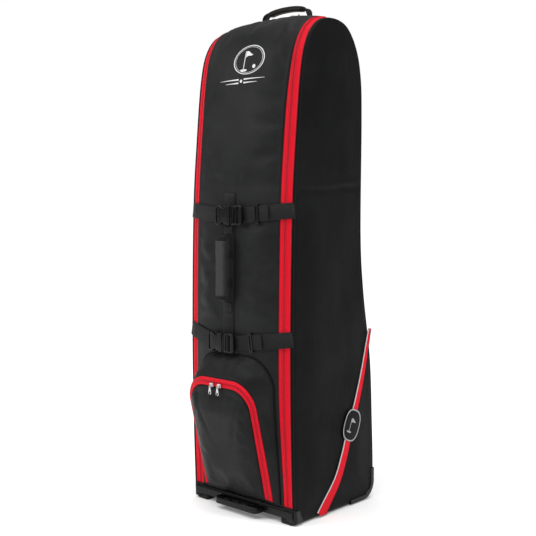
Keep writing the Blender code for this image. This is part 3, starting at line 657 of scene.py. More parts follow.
def filled_mesh(name, outlines, **settings):
    """The mesh of a flat curve with the settings: an outline inside another one is a hole."""
    curve = bpy.data.curves.new(name, "CURVE")
    curve.dimensions = "2D"
    curve.fill_mode = "BOTH"
    for key, value in settings.items():
        setattr(curve, key, value)
    for points in outlines:
        made = curve.splines.new("POLY")
        made.use_cyclic_u = True
        made.points.add(len(points) - 1)
        for spot, (a, b) in zip(made.points, points):
            spot.co = (a, b, 0, 1)
    holder = bpy.data.objects.new(name + "_curve", curve)
    scene.collection.objects.link(holder)
    bpy.context.view_layer.update()
    mesh = bpy.data.meshes.new_from_object(holder.evaluated_get(bpy.context.evaluated_depsgraph_get()))
    bpy.data.objects.remove(holder)
    return mesh


def plate(name, outlines, thickness, matrix, mat, body, bevel=0.0015, instead_of=(), segments=3):
    """A flat plate with rounded edges: the first outline is its edge and the others are holes."""
    core = thickness / 2 - bevel
    mesh = filled_mesh(
        name, outlines, extrude=core, bevel_depth=bevel, bevel_resolution=segments, offset=-bevel
    )
    with edited(mesh) as bm:
        bmesh.ops.remove_doubles(bm, verts=bm.verts[:], dist=1e-5)
        bmesh.ops.transform(bm, matrix=Matrix(matrix), verts=bm.verts[:])
        bmesh.ops.recalc_face_normals(bm, faces=bm.faces[:])
    mesh.materials.clear()
    return piece(name, mesh, mat, body, instead_of, 35)


def place_matrix(point, x_axis, y_axis, z_axis):
    made = np.eye(4)
    made[:3, 0], made[:3, 1], made[:3, 2], made[:3, 3] = x_axis, y_axis, z_axis, point
    return made.tolist()


def level_at(x, y, z):
    """The place matrix of a plate that lies level."""
    return place_matrix((x, y, z), (1, 0, 0), (0, 1, 0), (0, 0, 1))


def circle(radius, count, x=0.0, y=0.0):
    """A circle's outline about (x, y)."""
    turn = np.linspace(0, 2 * math.pi, count, endpoint=False)
    return [(x + radius * math.cos(a), y + radius * math.sin(a)) for a in turn]


def mirror_outline(half):
    """A closed outline from one half of it, mirrored in v."""
    return [*half, *[(a, -b) for a, b in reversed(half)]]


def rounded(x0, y0, x1, y1, r, count=5):
    """A rounded rectangle's outline."""
    out = []
    for cx, cy, start in (
        (x1 - r, y0 + r, -90), (x1 - r, y1 - r, 0), (x0 + r, y1 - r, 90), (x0 + r, y0 + r, 180)
    ):
        for k in range(count + 1):
            a = math.radians(start + 90 * k / count)
            out.append((cx + r * math.cos(a), cy + r * math.sin(a)))
    return out


# ------------------------------------------------------------- the padded shell


def front_shell():
    """The front panel and the hood, one fabric that bends at the fold."""
    last = S_CROSS - HEM_TOP
    curved = S_TURN + (last - S_TURN) * np.sin(np.linspace(0, math.pi / 2, 12))
    rows = np.concatenate([np.linspace(0.0008, S_TURN, 150, endpoint=False), curved])
    reach = ZIP_CORNER - HEM_TOP
    past = np.clip(rows - S_TURN, 0, reach)
    hem = HEM + (HEM_TOP - HEM) * smooth((rows - 0.92) / 0.22)
    half = np.where(rows <= S_TURN, ZIP_X - hem, TURN_X + np.sqrt(np.maximum(0, reach**2 - past**2)))
    v = np.linspace(-1, 1, 41)
    s, x = rows[:, None] * np.ones_like(v), half[:, None] * v
    pin = np.maximum(smooth((np.abs(v) - 0.80) / 0.2)[None, :], smooth((s - last + 0.05) / 0.05))
    pin = np.maximum(pin, smooth((0.05 - s) / 0.05))
    for z in STRAP_Z.values():
        pin = np.maximum(pin, 1 - smooth((np.abs(s - front_s(z)) - 0.022) / 0.03))
    pin = np.maximum(pin, (1 - smooth((np.abs(s - S_FOLD) - 0.004) / 0.02)) * 0.75)
    column = (s > front_s(COLUMN_Z[0])) & (s < front_s(COLUMN_Z[1]))
    pin = np.maximum(pin, np.where(column, 1 - smooth((np.abs(x - COLUMN_X) - 0.022) / 0.03), 0))
    pin = np.maximum(pin, 1 - smooth((s - front_s(0.405)) / 0.02))
    hem = 0.0012 * np.maximum(
        smooth((np.abs(v) - 0.955) / 0.012)[None, :], smooth((s - last + 0.006) / 0.0015)
    )
    crease = hem - 0.0016 * np.exp(-(((s - S_FOLD) / 0.004) ** 2))
    mesh = grid_mesh("front_shell", surf(s, x, crease), np.stack([s, x], -1))
    mesh = puff(mesh, pin, 0.006, pressure=0.9, grow=0.010, bend=4)
    obj = piece("front_shell", mesh, BLACK, None, (), 180)
    solid(obj, PANEL, LINING)
    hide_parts("front_panel", "hood_panel")
    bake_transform(obj)
    return obj



def hood_pad():
    """The quilted foam pad sewn inside the hood's crown."""
    first, last = front_s(1.03), S_CROSS - 0.030
    rows, v = np.linspace(first, last, 44), np.linspace(-1, 1, 44)
    s, x = rows[:, None] * np.ones_like(v), 0.112 * v * np.ones((44, 1))
    edge = np.minimum(1 - np.abs(v)[None, :], (1 - np.abs(2 * (rows - first) / (last - first) - 1))[:, None])
    plump = smooth(edge / 0.25)
    quilt = np.abs(np.sin((s + x) * math.pi / 0.045) * np.sin((s - x) * math.pi / 0.045)) ** 0.4
    points = surf(s, x, -0.0075 - 0.0065 * plump * (0.55 + 0.45 * quilt))
    mesh = grid_mesh("hood_pad", points, np.stack([s, x], -1), inside=[0, SHIFT - 0.3, 1.6])
    obj = piece("hood_pad", mesh, LINING, "hood", ("crown_pad",), 180)


def rear_shell():
    """The back panel and the rear of the crown, with the wheel housings cut out of its foot."""
    reach = ZIP_CORNER + EDGE_X - ZIP_X
    x = np.linspace(-EDGE_X, EDGE_X, 49)
    past = np.clip(np.abs(x) - TURN_X, 0, reach)
    start = S_TURN + np.sqrt(np.maximum(0, reach**2 - past**2))
    t = np.linspace(0, 1, 170)[:, None]
    s = start + (S_END - start) * (0.6 * t + 0.4 * t**1.8)
    x = x * np.ones_like(t)
    pin = np.maximum(smooth((np.abs(x) / EDGE_X - 0.82) / 0.18), smooth((start + 0.09 - s) / 0.06))
    pin = np.maximum(pin, smooth((s - S_END + 0.10) / 0.05))
    for side in SIDES.values():
        rail = 1 - smooth((np.abs(x - side * RAIL_X) - 0.009) / 0.02)
        pin = np.maximum(pin, rail * smooth((s - rear_s(0.66)) / 0.04))
    seam = -0.0014 * np.exp(-(((s - rear_s(FOLD_Z)) / 0.0035) ** 2))
    points = surf(s, x, seam)
    mesh = grid_mesh("rear_shell", points, np.stack([s, x], -1))
    mesh = puff(mesh, pin, 0.006, pressure=0.8, grow=0.010, bend=4)
    with edited(mesh) as bm:
        middles = [(face, face.calc_center_median()) for face in bm.faces]
        low = [face for face, mid in middles if abs(mid.x) > 0.1085 and mid.z < 0.081 and mid.y > 0.1]
        bmesh.ops.delete(bm, geom=low, context="FACES")
    obj = piece("rear_shell", mesh, BLACK, "case", ("rear_panel",), 180)
    solid(obj, PANEL, LINING)


def side_profile(z):
    """Front and rear edges of the side panels at height z."""
    z = np.asarray(z, float)
    front = np.interp(z, Z_TABLE[: TOP + 1], Y_TABLE[: TOP + 1])
    rear = np.interp(-z, -Z_TABLE[TOP:], Y_TABLE[TOP:])
    return front, rear


def side_shell(side, sign):
    """A padded side panel, creased at the fold and dented behind its middle."""
    apex = Z_TABLE[TOP] + 0.0012
    arched = apex - (apex - 1.03) * np.linspace(1, 0, 34) ** 2
    z = np.concatenate([np.linspace(SIDE_FOOT, 1.03, 128, endpoint=False), arched])
    front, rear = side_profile(np.minimum(z, apex - 0.0013))
    front, rear = front - 0.001, rear + 0.001
    toe = np.interp(z, [SIDE_FOOT, 0.014, SHELL_FOOT], [-0.147, -0.156, -0.1585])
    front = np.where(z < SHELL_FOOT, toe, front)
    corner = np.clip(HEEL_Z - z, 0, HEEL_RADIUS)
    heel = HEEL_Y - HEEL_RADIUS + np.sqrt(np.maximum(0, HEEL_RADIUS**2 - corner**2))
    rear = np.where(z < 0.079, HEEL_Y, rear)
    rear = np.where(z < HEEL_Z, heel, rear)
    shut = smooth((z - apex + 0.0012) / 0.0012)
    middle = (front + rear) / 2
    front, rear = front + (middle - front) * shut, rear + (middle - rear) * shut
    v = np.linspace(0, 1, 41)
    v = 0.5 - 0.5 * np.cos(v * math.pi) * 0.35 + (v - 0.5) * 0.65
    y = front[:, None] + (rear - front)[:, None] * v
    zz = z[:, None] * np.ones_like(v)
    rim = np.minimum(np.minimum(y - front[:, None], rear[:, None] - y), np.minimum(apex - zz, zz - SIDE_FOOT))
    swell = 0.0052 * smooth(rim / 0.085) - 0.0030 * (1 - smooth(rim / 0.009))
    fold = zz - 0.811 - 0.006 * np.sin(y * 17)
    crease = 0.0045 * np.exp(-((fold / 0.0038) ** 2)) - 0.0016 * np.exp(-(((fold - 0.011) / 0.008) ** 2))
    crease = crease * smooth(rim / 0.02)
    dent = 0.0035 * np.exp(-(((zz - 0.60) / 0.16) ** 2) - (((y - 0.03) / 0.05) ** 2))
    pin = 1 - smooth((rim - 0.008) / 0.035)
    pin = np.maximum(pin, 0.85 * np.exp(-(((zz - 0.811) / 0.010) ** 2)))
    x = sign * (HALF_WIDTH - 0.0006 + swell - crease - dent)
    points = np.stack([x, y + SHIFT, zz], -1)
    mesh = grid_mesh(f"side_shell_{side}", points, np.stack([zz, y], -1))
    mesh = puff(mesh, pin, 0.005, pressure=0.5, grow=0.012, bend=5)
    with edited(mesh) as bm:
        bmesh.ops.remove_doubles(bm, verts=bm.verts[:], dist=1e-5)
    # the sides wear the darker copy of the fabric: painted shade
    obj = piece(f"side_shell_{side}", mesh, BLACK_PAINTED_SHADE, "case", (f"side_panel_{side}",), 180)
    solid(obj, PANEL, LINING)


def piping():
    """The corded seams that join the side panels to the strip."""
    for side, sign in SIDES.items():
        spans = ((0.001, 1.12, 0.008), (1.12, 1.40, 0.004), (1.40, S_END, 0.008))
        s = np.concatenate([np.arange(*span) for span in spans])
        path = surf(s, sign * EDGE_X, -0.0016)
        path[:, 0] = sign * (HALF_WIDTH - 0.0034)
        outward = unit(surf(s, 0, 0.01) - surf(s, 0, 0.0))
        outward[:, 0] = 0
        sweep(f"piping_{side}", path, [sign, 0, 0], outward, round_section(0.0022, 10), BINDING, "case")
    # the binding between the zip tape and the piping, over the legs and round the corners
    s, x, along = zip_line(0.0006, [0.0146, 0.0151, 0.0170, 0.0188])
    height = np.array([0.0002, 0.0013, 0.0014, 0.0004])
    points = surf(s, x, height + 0.0002)
    uv = cross_uv(along, [0, 0.001, 0.0035, 0.0055])
    obj = piece("zip_binding", grid_mesh("zip_binding", points, uv), BINDING, "case", (), 60)
    solid(obj, 0.0012)


# ------------------------------------------------------------- the main zip


def zip_half(name, first, offsets, heights, body, instead_of, mats, coil_to):
    """One half of the main zip: a strip along zip_line whose columns nearer than coil_to are coil."""
    s, x, along = zip_line(first, offsets)
    points = surf(s, x, np.asarray(heights))
    uv = cross_uv(along, offsets)
    mesh = grid_mesh(name, points, uv)
    obj = piece(name, mesh, mats, body, (), 70)
    mids = np.abs((np.asarray(offsets)[1:] + np.asarray(offsets)[:-1]) / 2)
    tiles = np.tile((mids < coil_to).astype(np.int32), len(along) - 1)
    mesh.polygons.foreach_set("material_index", tiles)
    solid(obj, 0.0014)
    if instead_of:
        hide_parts(*instead_of)
    return obj


# the coil's offsets from the zip's middle, and its heights there
COIL_SECTION = (
    [0.00005, 0.0005, 0.0013, 0.0023, 0.0031, 0.0036, 0.0044],
    [0.0011, 0.0015, 0.0017, 0.0014, 0.0007, 0.0001, 0.0000],
)
COIL_EDGE = 0.0033


def main_zip():
    offsets, heights = (np.array(k) for k in COIL_SECTION)
    outer = [0.0055, 0.008, 0.0105, 0.0130, 0.0142, 0.0150]
    rise = [-0.0003, 0.0001, 0.0004, 0.0006, 0.0004, 0.0002]
    mats = [TAPE, COIL]
    heights_body = [*heights, *rise]
    zip_half(
        "zip_tape_body", 0.0010, [*offsets, *outer], heights_body, "case", ("body_zip",), mats, COIL_EDGE
    )
    inner = [0.0055, 0.0075, 0.0100, 0.0125, 0.0150, 0.0180]
    rise = [-0.0003, 0.0001, 0.0003, -0.0001, -0.0010, -0.0016]
    offsets = [-k for k in [*offsets, *inner]]
    hood = zip_half("zip_tape_hood", 0.0010, offsets, [*heights, *rise], None, (), mats, COIL_EDGE)
    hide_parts("hood_zip", "front_zip_left", "front_zip_right")
    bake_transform(hood)
    for name, offset, owner in (("zip_stitch_body", 0.0128, "case"), ("zip_stitch_hood", -0.0072, "hood")):
        s, x = (k[:, 0] for k in zip_line(0.004, [offset])[:2])
        points, out = surf(s, x, 0.00075), unit(surf(s, x, 0.01) - surf(s, x))
        obj = stitches(name, [(points, out)], RED_THREAD, owner if owner == "case" else None, 0.0040, 0.0028)
        if owner == "hood":
            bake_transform(obj)
    for side, sign in SIDES.items():
        # a fabric stop covers the end of the zip at the foot
        s = np.linspace(0.0002, 0.0045, 6)
        x = sign * np.linspace(0.1375, 0.1680, 9)
        points = surf(s[:, None], x, 0.0026 - 0.0008 * np.abs(np.linspace(-1, 1, 9)) ** 4)
        mesh = grid_mesh(f"zip_stop_{side}", points, cross_uv(s, x))
        obj = piece(f"zip_stop_{side}", mesh, BINDING, "case", (), 60)
        solid(obj, 0.0016)


def main_sliders():
    for side, sign in SIDES.items():
        low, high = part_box(f"main_slider_{side}")
        mid = (low + high) / 2
        wide = mirror_outline([(-0.008, -0.0052), (-0.004, -0.0060), (0.004, -0.0060), (0.008, -0.0040)])
        at = place_matrix((mid.x, mid.y, low.z + 0.0016), (sign, 0, 0), (0, sign, 0), (0, 0, 1))
        plate(
            f"main_slider_body_{side}", [wide], 0.0032, at, NICKEL, f"main_slider_{side}", 0.0010,
            (f"main_slider_{side}",),
        )
        line = ((-0.0048, 0.0028), (-0.002, 0.0049), (0.003, 0.0049), (0.0052, 0.0030))
        bail = spline([(mid.x + sign * a, mid.y, low.z + b) for a, b in line], 16)
        across, up = frames_along(bail, (0, 0, 1))
        wire = [(-0.0013, -0.0005), (0.0013, -0.0005), (0.0013, 0.0005), (-0.0013, 0.0005)]
        sweep(f"main_slider_bail_{side}", bail, across, up, wire, NICKEL, f"main_slider_{side}")
        low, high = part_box(f"main_pull_{side}")
        at = place_matrix(
            ((low.x + high.x) / 2, mid.y, (low.z + high.z) / 2), (sign, 0, 0), (0, sign, 0), (0, 0, 1)
        )
        edge = mirror_outline([(-0.0145, -0.0022), (-0.012, -0.0034), (0.010, -0.0040), (0.0145, -0.0026)])
        holes = [
            rounded(-0.0128, -0.0016, -0.0088, 0.0016, 0.0012),
            rounded(0.001, -0.0018, 0.0105, 0.0018, 0.0016),
        ]
        plate(
            f"main_pull_tab_{side}", [edge, *holes], 0.0018, at, NICKEL, f"main_pull_{side}", 0.0006,
            (f"main_pull_{side}",),
        )


# ------------------------------------------------------------- the front pocket

POCKET_LOW, POCKET_HIGH = (-0.1700, 0.052), (-0.2390, 0.338)
POCKET_X, POCKET_HALF, POCKET_CORNER, POCKET_BAND = -0.012, 0.112, 0.065, 0.0115
POCKET_RUN = np.array([0, POCKET_HIGH[0] - POCKET_LOW[0], POCKET_HIGH[1] - POCKET_LOW[1]])
POCKET_LENGTH = np.linalg.norm(POCKET_RUN)
POCKET_UP = POCKET_RUN / POCKET_LENGTH
POCKET_OUT = np.array([0, -POCKET_UP[2], POCKET_UP[1]])
POCKET_FOOT_HALF, POCKET_FOOT_Z, POCKET_FOOT_CORNER = 0.128, (0.044, 0.405), 0.080


def arch(t, half, height, corner):
    """Points along an arch at shares t: up the left leg, over and down the right."""
    t = np.asarray(t, float)
    along = 1 - np.abs(2 * t - 1)
    top = half - corner
    angle = (along - 1 / 3) * math.pi
    x = np.where(
        along <= 1 / 3, half, np.where(along <= 5 / 6, top + corner * np.cos(angle), top * (1 - along) * 6)
    )
    q = np.where(
        along <= 1 / 3, (height - corner) * along * 3,
        np.where(along <= 5 / 6, height - corner + corner * np.sin(angle), height),
    )
    return np.copysign(x, t - 0.5), q


def cover_point(x, q, height=0.0):
    x, q, height = np.broadcast_arrays(*(np.asarray(k, float) for k in (x, q, height)))
    base = np.array([0, POCKET_LOW[0] + SHIFT, POCKET_LOW[1]])
    return base + x[..., None] * [1, 0, 0] + q[..., None] * POCKET_UP + height[..., None] * POCKET_OUT


def rim_point(t, inset=0.0, height=0.0):
    x, q = arch(t, POCKET_HALF - inset, POCKET_LENGTH - inset, POCKET_CORNER - inset)
    return cover_point(POCKET_X + x, q, height)


def foot_point(t, height=0.0):
    low, high = POCKET_FOOT_Z
    x, q = arch(t, POCKET_FOOT_HALF, high - low, POCKET_FOOT_CORNER)
    return surf(front_s(low + q), x, height)


POCKET_INSIDE = [0, -0.150 + SHIFT, 0.22]


def pocket():
    """The front pocket: its zip band, gusset and cover."""
    # the corners get more rows than the straight runs
    marks, counts = (0, 1 / 6, 5 / 12, 7 / 12, 5 / 6, 1), (22, 34, 22, 34, 22)
    runs = [np.linspace(a, b, count, endpoint=False) for a, b, count in zip(marks, marks[1:], counts)]
    t = np.concatenate([*runs, [1.0]])
    rim, foot, inner = rim_point(t), foot_point(t, 0.0006), rim_point(t, POCKET_BAND)
    down = foot - rim
    run = np.linalg.norm(down, axis=1)
    down = unit(down)
    band = np.minimum(POCKET_BAND, run * 0.45)
    lower = rim + down * band[:, None]
    along = lengths(rim)

    # the zip band turns over the pocket's edge, with its coil along the corner
    w = np.linspace(0, 1, 17)
    bend = lambda a, b, c: (1 - w)[:, None] ** 2 * a + 2 * (w * (1 - w))[:, None] * b + (w**2)[:, None] * c
    points = np.array([bend(inner[i], rim[i], lower[i]) for i in range(len(t))])
    normal = grid_normals(points, POCKET_INSIDE)
    ridge = 0.0014 * np.exp(-(((w - 0.5) / 0.10) ** 2)) - 0.0009 * np.exp(-(((w - 0.5) / 0.018) ** 2))
    aside = np.abs(w - 0.5)
    ridge = ridge + 0.0007 * np.exp(-(((aside - 0.40) / 0.05) ** 2)) - 0.0008 * smooth((aside - 0.44) / 0.06)
    points = points + normal * ridge[None, :, None]
    uv = cross_uv(along, w * 0.024)
    mesh = grid_mesh("pocket_zip", points, uv, POCKET_INSIDE)
    obj = piece("pocket_zip", mesh, [TAPE, COIL], "case", ("pocket_cover_zip", "pocket_gusset_zip"), 80)
    mids = (w[1:] + w[:-1]) / 2
    mesh.polygons.foreach_set(
        "material_index", np.tile((np.abs(mids - 0.5) < 0.13).astype(np.int32), len(t) - 1)
    )
    solid(obj, 0.0013)
    rows = [(points[2:-2, k] + normal[2:-2, k] * 0.0004, normal[2:-2, k]) for k in (2, 14)]
    stitches("pocket_stitch", rows, RED_THREAD, "case", 0.0040, 0.0028)

    # the gusset runs from the band down to the front panel
    v = np.linspace(0, 1, 19)
    points = lower[:, None] * (1 - v)[None, :, None] + foot[:, None] * v[None, :, None]
    normal = grid_normals(points, POCKET_INSIDE)
    room = smooth(np.minimum(v, 1 - v) / 0.3)[None, :] * np.clip(run / 0.10, 0, 1)[:, None]
    fold = np.sin(t[:, None] * 61 + 2.2 * np.sin(t[:, None] * 23) + v * 2.7) * 0.0004
    tuck = -0.0042 * np.exp(-(((t - 0.70)[:, None] * 26 + (v - 0.5) * 1.3) ** 2))
    tuck = tuck - 0.0036 * np.exp(-(((t - 0.30)[:, None] * 24 - (v - 0.5) * 1.6) ** 2))
    points = points + normal * (room * (0.0035 + fold + tuck))[..., None]
    uv = np.stack(np.broadcast_arrays(along[:, None], v * run[:, None]), -1)
    mesh = grid_mesh("pocket_gusset_shell", points, uv, POCKET_INSIDE)
    pin = np.ones_like(points[..., 0]) * (1 - smooth(np.minimum(v, 1 - v) / 0.18))
    pin[:3], pin[-3:] = 1, 1
    mesh = puff(mesh, pin, 0.004, pressure=0.6, grow=0.008, bend=3)
    obj = piece("pocket_gusset_shell", mesh, BLACK, "case", ("pocket_gusset",), 180)
    solid(obj, 0.0022, LINING)
    # the seam where it's sewn to the front
    seam = foot_point(t, 0.0016)
    middle = front_s(POCKET_FOOT_Z[0] + 0.2)
    out = unit(surf(middle, 0, 0.01) - surf(middle, 0)) * np.ones_like(seam)
    side = unit(np.cross(tangents(seam), out))
    sweep("pocket_piping", seam, side, out, round_section(0.0017, 8), BINDING, "case")

    # the cover, sagging a little between its edges
    half, corner, height = POCKET_HALF - POCKET_BAND, POCKET_CORNER - POCKET_BAND, POCKET_LENGTH - POCKET_BAND
    u = np.sin(np.linspace(-1, 1, 45) * math.pi / 2)
    x = half * u
    past = np.clip(np.abs(x) - (half - corner), 0, corner)
    top = height - corner + np.sqrt(np.maximum(0, corner**2 - past**2))
    q = np.linspace(0, 1, 61)[:, None] * top
    x = x * np.ones_like(q)
    rim_gap = np.minimum(half - np.abs(x), np.minimum(top - q, q * 0.8 + 0.004))
    plump = 0.0050 + 0.0130 * smooth((height - q - 0.010) / 0.055) * smooth((q + 0.02) / 0.09)
    swell = plump * np.sqrt(1 - (1 - np.clip(rim_gap / 0.040, 0, 1)) ** 2) - 0.0006
    crease = -0.0022 * np.exp(
        -(((x + 0.070 - (0.262 - q) * 0.35) / 0.006) ** 2)
    ) * smooth((q - 0.13) / 0.08) * smooth(rim_gap / 0.02)
    crease += -0.0018 * np.exp(
        -(((x - 0.075 + (0.25 - q) * 0.30) / 0.007) ** 2)
    ) * smooth((q - 0.12) / 0.07) * smooth(rim_gap / 0.02)
    mesh = grid_mesh(
        "pocket_front", cover_point(POCKET_X + x, q, swell + crease), np.stack([q, x], -1), POCKET_INSIDE
    )
    mesh = puff(mesh, 1 - smooth((rim_gap - 0.002) / 0.02), 0.005, pressure=0.5, grow=0.018, bend=2.5)
    obj = piece("pocket_front", mesh, BLACK, "case", ("pocket_cover",), 180)
    solid(obj, 0.0022, LINING)


def pocket_sliders():
    for side in SIDES:
        low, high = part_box(f"pocket_slider_{side}")
        mid = np.array((low + high) / 2)
        outline = mirror_outline(
            [(-0.0062, -0.0044), (-0.0030, -0.0054), (0.0030, -0.0054), (0.0062, -0.0040)]
        )
        flip = -1 if side == "left" else 1
        at = place_matrix(mid, (flip, 0, 0), POCKET_UP * flip, POCKET_OUT)
        plate(
            f"pocket_slider_body_{side}", [outline], 0.0034, at, NICKEL, f"pocket_slider_{side}", 0.0011,
            (f"pocket_slider_{side}",),
        )
        pull_low, pull_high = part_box(f"pocket_pull_{side}")
        pin = np.array([(pull_low.x + pull_high.x) / 2, (pull_low.y + pull_high.y) / 2, pull_high.z - 0.0014])
        bail = spline(
            [
                mid + POCKET_UP * 0.0035 + POCKET_OUT * 0.0014,
                mid + POCKET_UP * 0.0015 + POCKET_OUT * 0.0042, pin + (0, -0.0016, 0.0016),
                pin + (0, -0.0012, -0.0018), mid - POCKET_UP * 0.0040 + POCKET_OUT * 0.0014,
            ],
            24,
        )
        s, n = frames_along(bail, (0, -1, 0.3))
        sweep(f"pocket_bail_{side}", bail, s, n, round_section(0.0008, 8), NICKEL, f"pocket_slider_{side}")
        at = place_matrix(pin + (0, 0, -0.0098), (1, 0, 0), (0, 0, 1), (0, -1, 0))
        tab = [
            (0.0030 * a, b)
            for a, b in (
                (-0.62, 0.0112), (-0.95, 0.0088), (-1, 0.004), (-1.5, -0.004), (-1.55, -0.0085),
                (-1.0, -0.0112), (0, -0.0120), (1.0, -0.0112), (1.55, -0.0085), (1.5, -0.004), (1, 0.004),
                (0.95, 0.0088), (0.62, 0.0112),
            )
        ]
        holes = [
            rounded(-0.0013, 0.0066, 0.0013, 0.0098, 0.0012),
            rounded(-0.0024, -0.0094, 0.0024, -0.0040, 0.0018),
        ]
        plate(
            f"pocket_pull_tab_{side}", [tab, *holes], 0.0020, at, NICKEL, f"pocket_pull_{side}", 0.0007,
            (f"pocket_pull_{side}",),
        )
        x, y, z = pin + (0, 0, -0.0172)
        loop = spline(
            [
                (x, y - 0.0010, z + 0.0010), (x - 0.0016, y - 0.0008, z - 0.006), (x - 0.0024, y, z - 0.013),
                (x, y, z - 0.0165), (x + 0.0024, y, z - 0.013), (x + 0.0016, y + 0.0008, z - 0.006),
                (x, y + 0.0010, z + 0.0010),
            ],
            40,
        )
        s, n = frames_along(loop, (0, -1, 0))
        sweep(f"pocket_pull_loop_{side}", loop, s, n, round_section(0.0011, 8), WEB, f"pocket_pull_{side}")


# ------------------------------------------------------------- straps and buckles


def ribbon(name, s, x, height, width, thick, body, instead_of=(), mat=None):
    """Webbing that lies on the shell from point to point of (s, x, height)."""
    path = surf(s, x, height)
    out = unit(surf(s, x, np.asarray(height) + 0.01) - path)
    along = tangents(path)
    side = unit(np.cross(along, out))
    normal = unit(np.cross(side, along))
    flip = np.sign((normal * out).sum(1, keepdims=True))
    return sweep(
        name, path, side, normal * flip, flat_section(width, thick), mat or WEB, body, instead_of, 50
    )


def box_stitch(s_low, s_high, x_low, x_high, height):
    """Rows for a sewn box with a cross in it."""
    corners = [(s_low, x_low), (s_high, x_low), (s_high, x_high), (s_low, x_high), (s_low, x_low)]
    rows = []
    for a, b in [*zip(corners, corners[1:]), (corners[0], corners[2]), (corners[1], corners[3])]:
        s, x = np.linspace(a[0], b[0], 9), np.linspace(a[1], b[1], 9)
        base = surf(s, x, height)
        rows.append((base, unit(surf(s, x, 0.02) - surf(s, x))))
    return rows


def sag_slope(name, sign):
    return STRAP_SAG[name] / (EDGE_X - sign * BUCKLE_X[name] - BUCKLE_HALF)


def strap_s(name, x):
    """The middle of a strap: the buckle hangs a little and the webbing runs straight to it."""
    aside = np.asarray(x, float) - BUCKLE_X[name]
    slope = np.where(aside > 0, sag_slope(name, 1), sag_slope(name, -1))
    return front_s(STRAP_Z[name]) - STRAP_SAG[name] + slope * np.maximum(0, np.abs(aside) - BUCKLE_HALF)


def strap_lift(x):
    """The webbing's height: it climbs over the zip's coil and dips to its sewn end."""
    aside = np.abs(x)
    return 0.0024 + 0.0010 * np.exp(
        -(((aside - 0.1495) / 0.006) ** 2)
    ) - 0.0012 * smooth((aside - 0.166) / 0.006)


# webbing folded round a buckle's bar: (along the strap, out of the shell)
WRAPS = {
    "female": [
        (-0.026, 0.0044), (-0.034, 0.0050), (-0.0385, 0.0062), (-0.0400, 0.0098), (-0.0385, 0.0136),
        (-0.0340, 0.0148), (-0.0318, 0.0130),
    ],
    "male": [
        (0.0165, 0.0062), (0.0172, 0.0105), (0.0185, 0.0148), (0.0225, 0.0168), (0.0265, 0.0160),
        (0.0290, 0.0110), (0.0300, 0.0070),
    ],
}


def straps():
    """Both compression straps, with their buckles and keepers."""
    rows = []
    for name in STRAP_Z:
        middle, keeper = BUCKLE_X[name], KEEPER_X[name]
        s = float(strap_s(name, middle))
        for side, start, end in (("left", -STRAP_END, middle - 0.030), ("right", middle + 0.020, STRAP_END)):
            x = np.linspace(start, end, 60)
            nodes = (f"{name}_strap_{side}",)
            along, label = strap_s(name, x), f"{name}_webbing_{side}"
            ribbon(label, along, x, strap_lift(x), STRAP_WIDTH, STRAP_THICK, "case", nodes)
        # the free tail doubles back under the keeper
        x = np.linspace(middle + 0.030, keeper + 0.034, 30)
        rise = 0.0043 + 0.0006 * np.sin((x - middle) * 60) * smooth((x - keeper - 0.004) / 0.02)
        rise = rise + 0.002 * smooth((x - keeper - 0.008) / 0.026)
        ribbon(f"{name}_tail", strap_s(name, x) + 0.0004, x, rise - 0.0001, 0.0375, 0.0016, "case")
        point, across, up, out = strip_frame(s, middle)
        for label, width, body in (("female", 0.0375, "case"), ("male", 0.0372, f"{name}_buckle")):
            path = spline([point + across * a + out * b for a, b in WRAPS[label]], 36)
            side = up * np.ones_like(path)
            normal = unit(np.cross(side, tangents(path)))
            sweep(f"{name}_{label}_wrap", path, side, normal, flat_section(width, 0.0014), WEB, body)
        for sign in SIDES.values():
            end = float(strap_s(name, sign * 0.171))
            rows += box_stitch(end - 0.015, end + 0.015, sign * 0.1695, sign * 0.1722, 0.0036)[:4]
        buckle(name, s, middle)
        keeper_piece(name, float(strap_s(name, keeper)), keeper)
    stitches("strap_stitch", rows, BLACK_THREAD, "case", 0.0032, 0.0023)


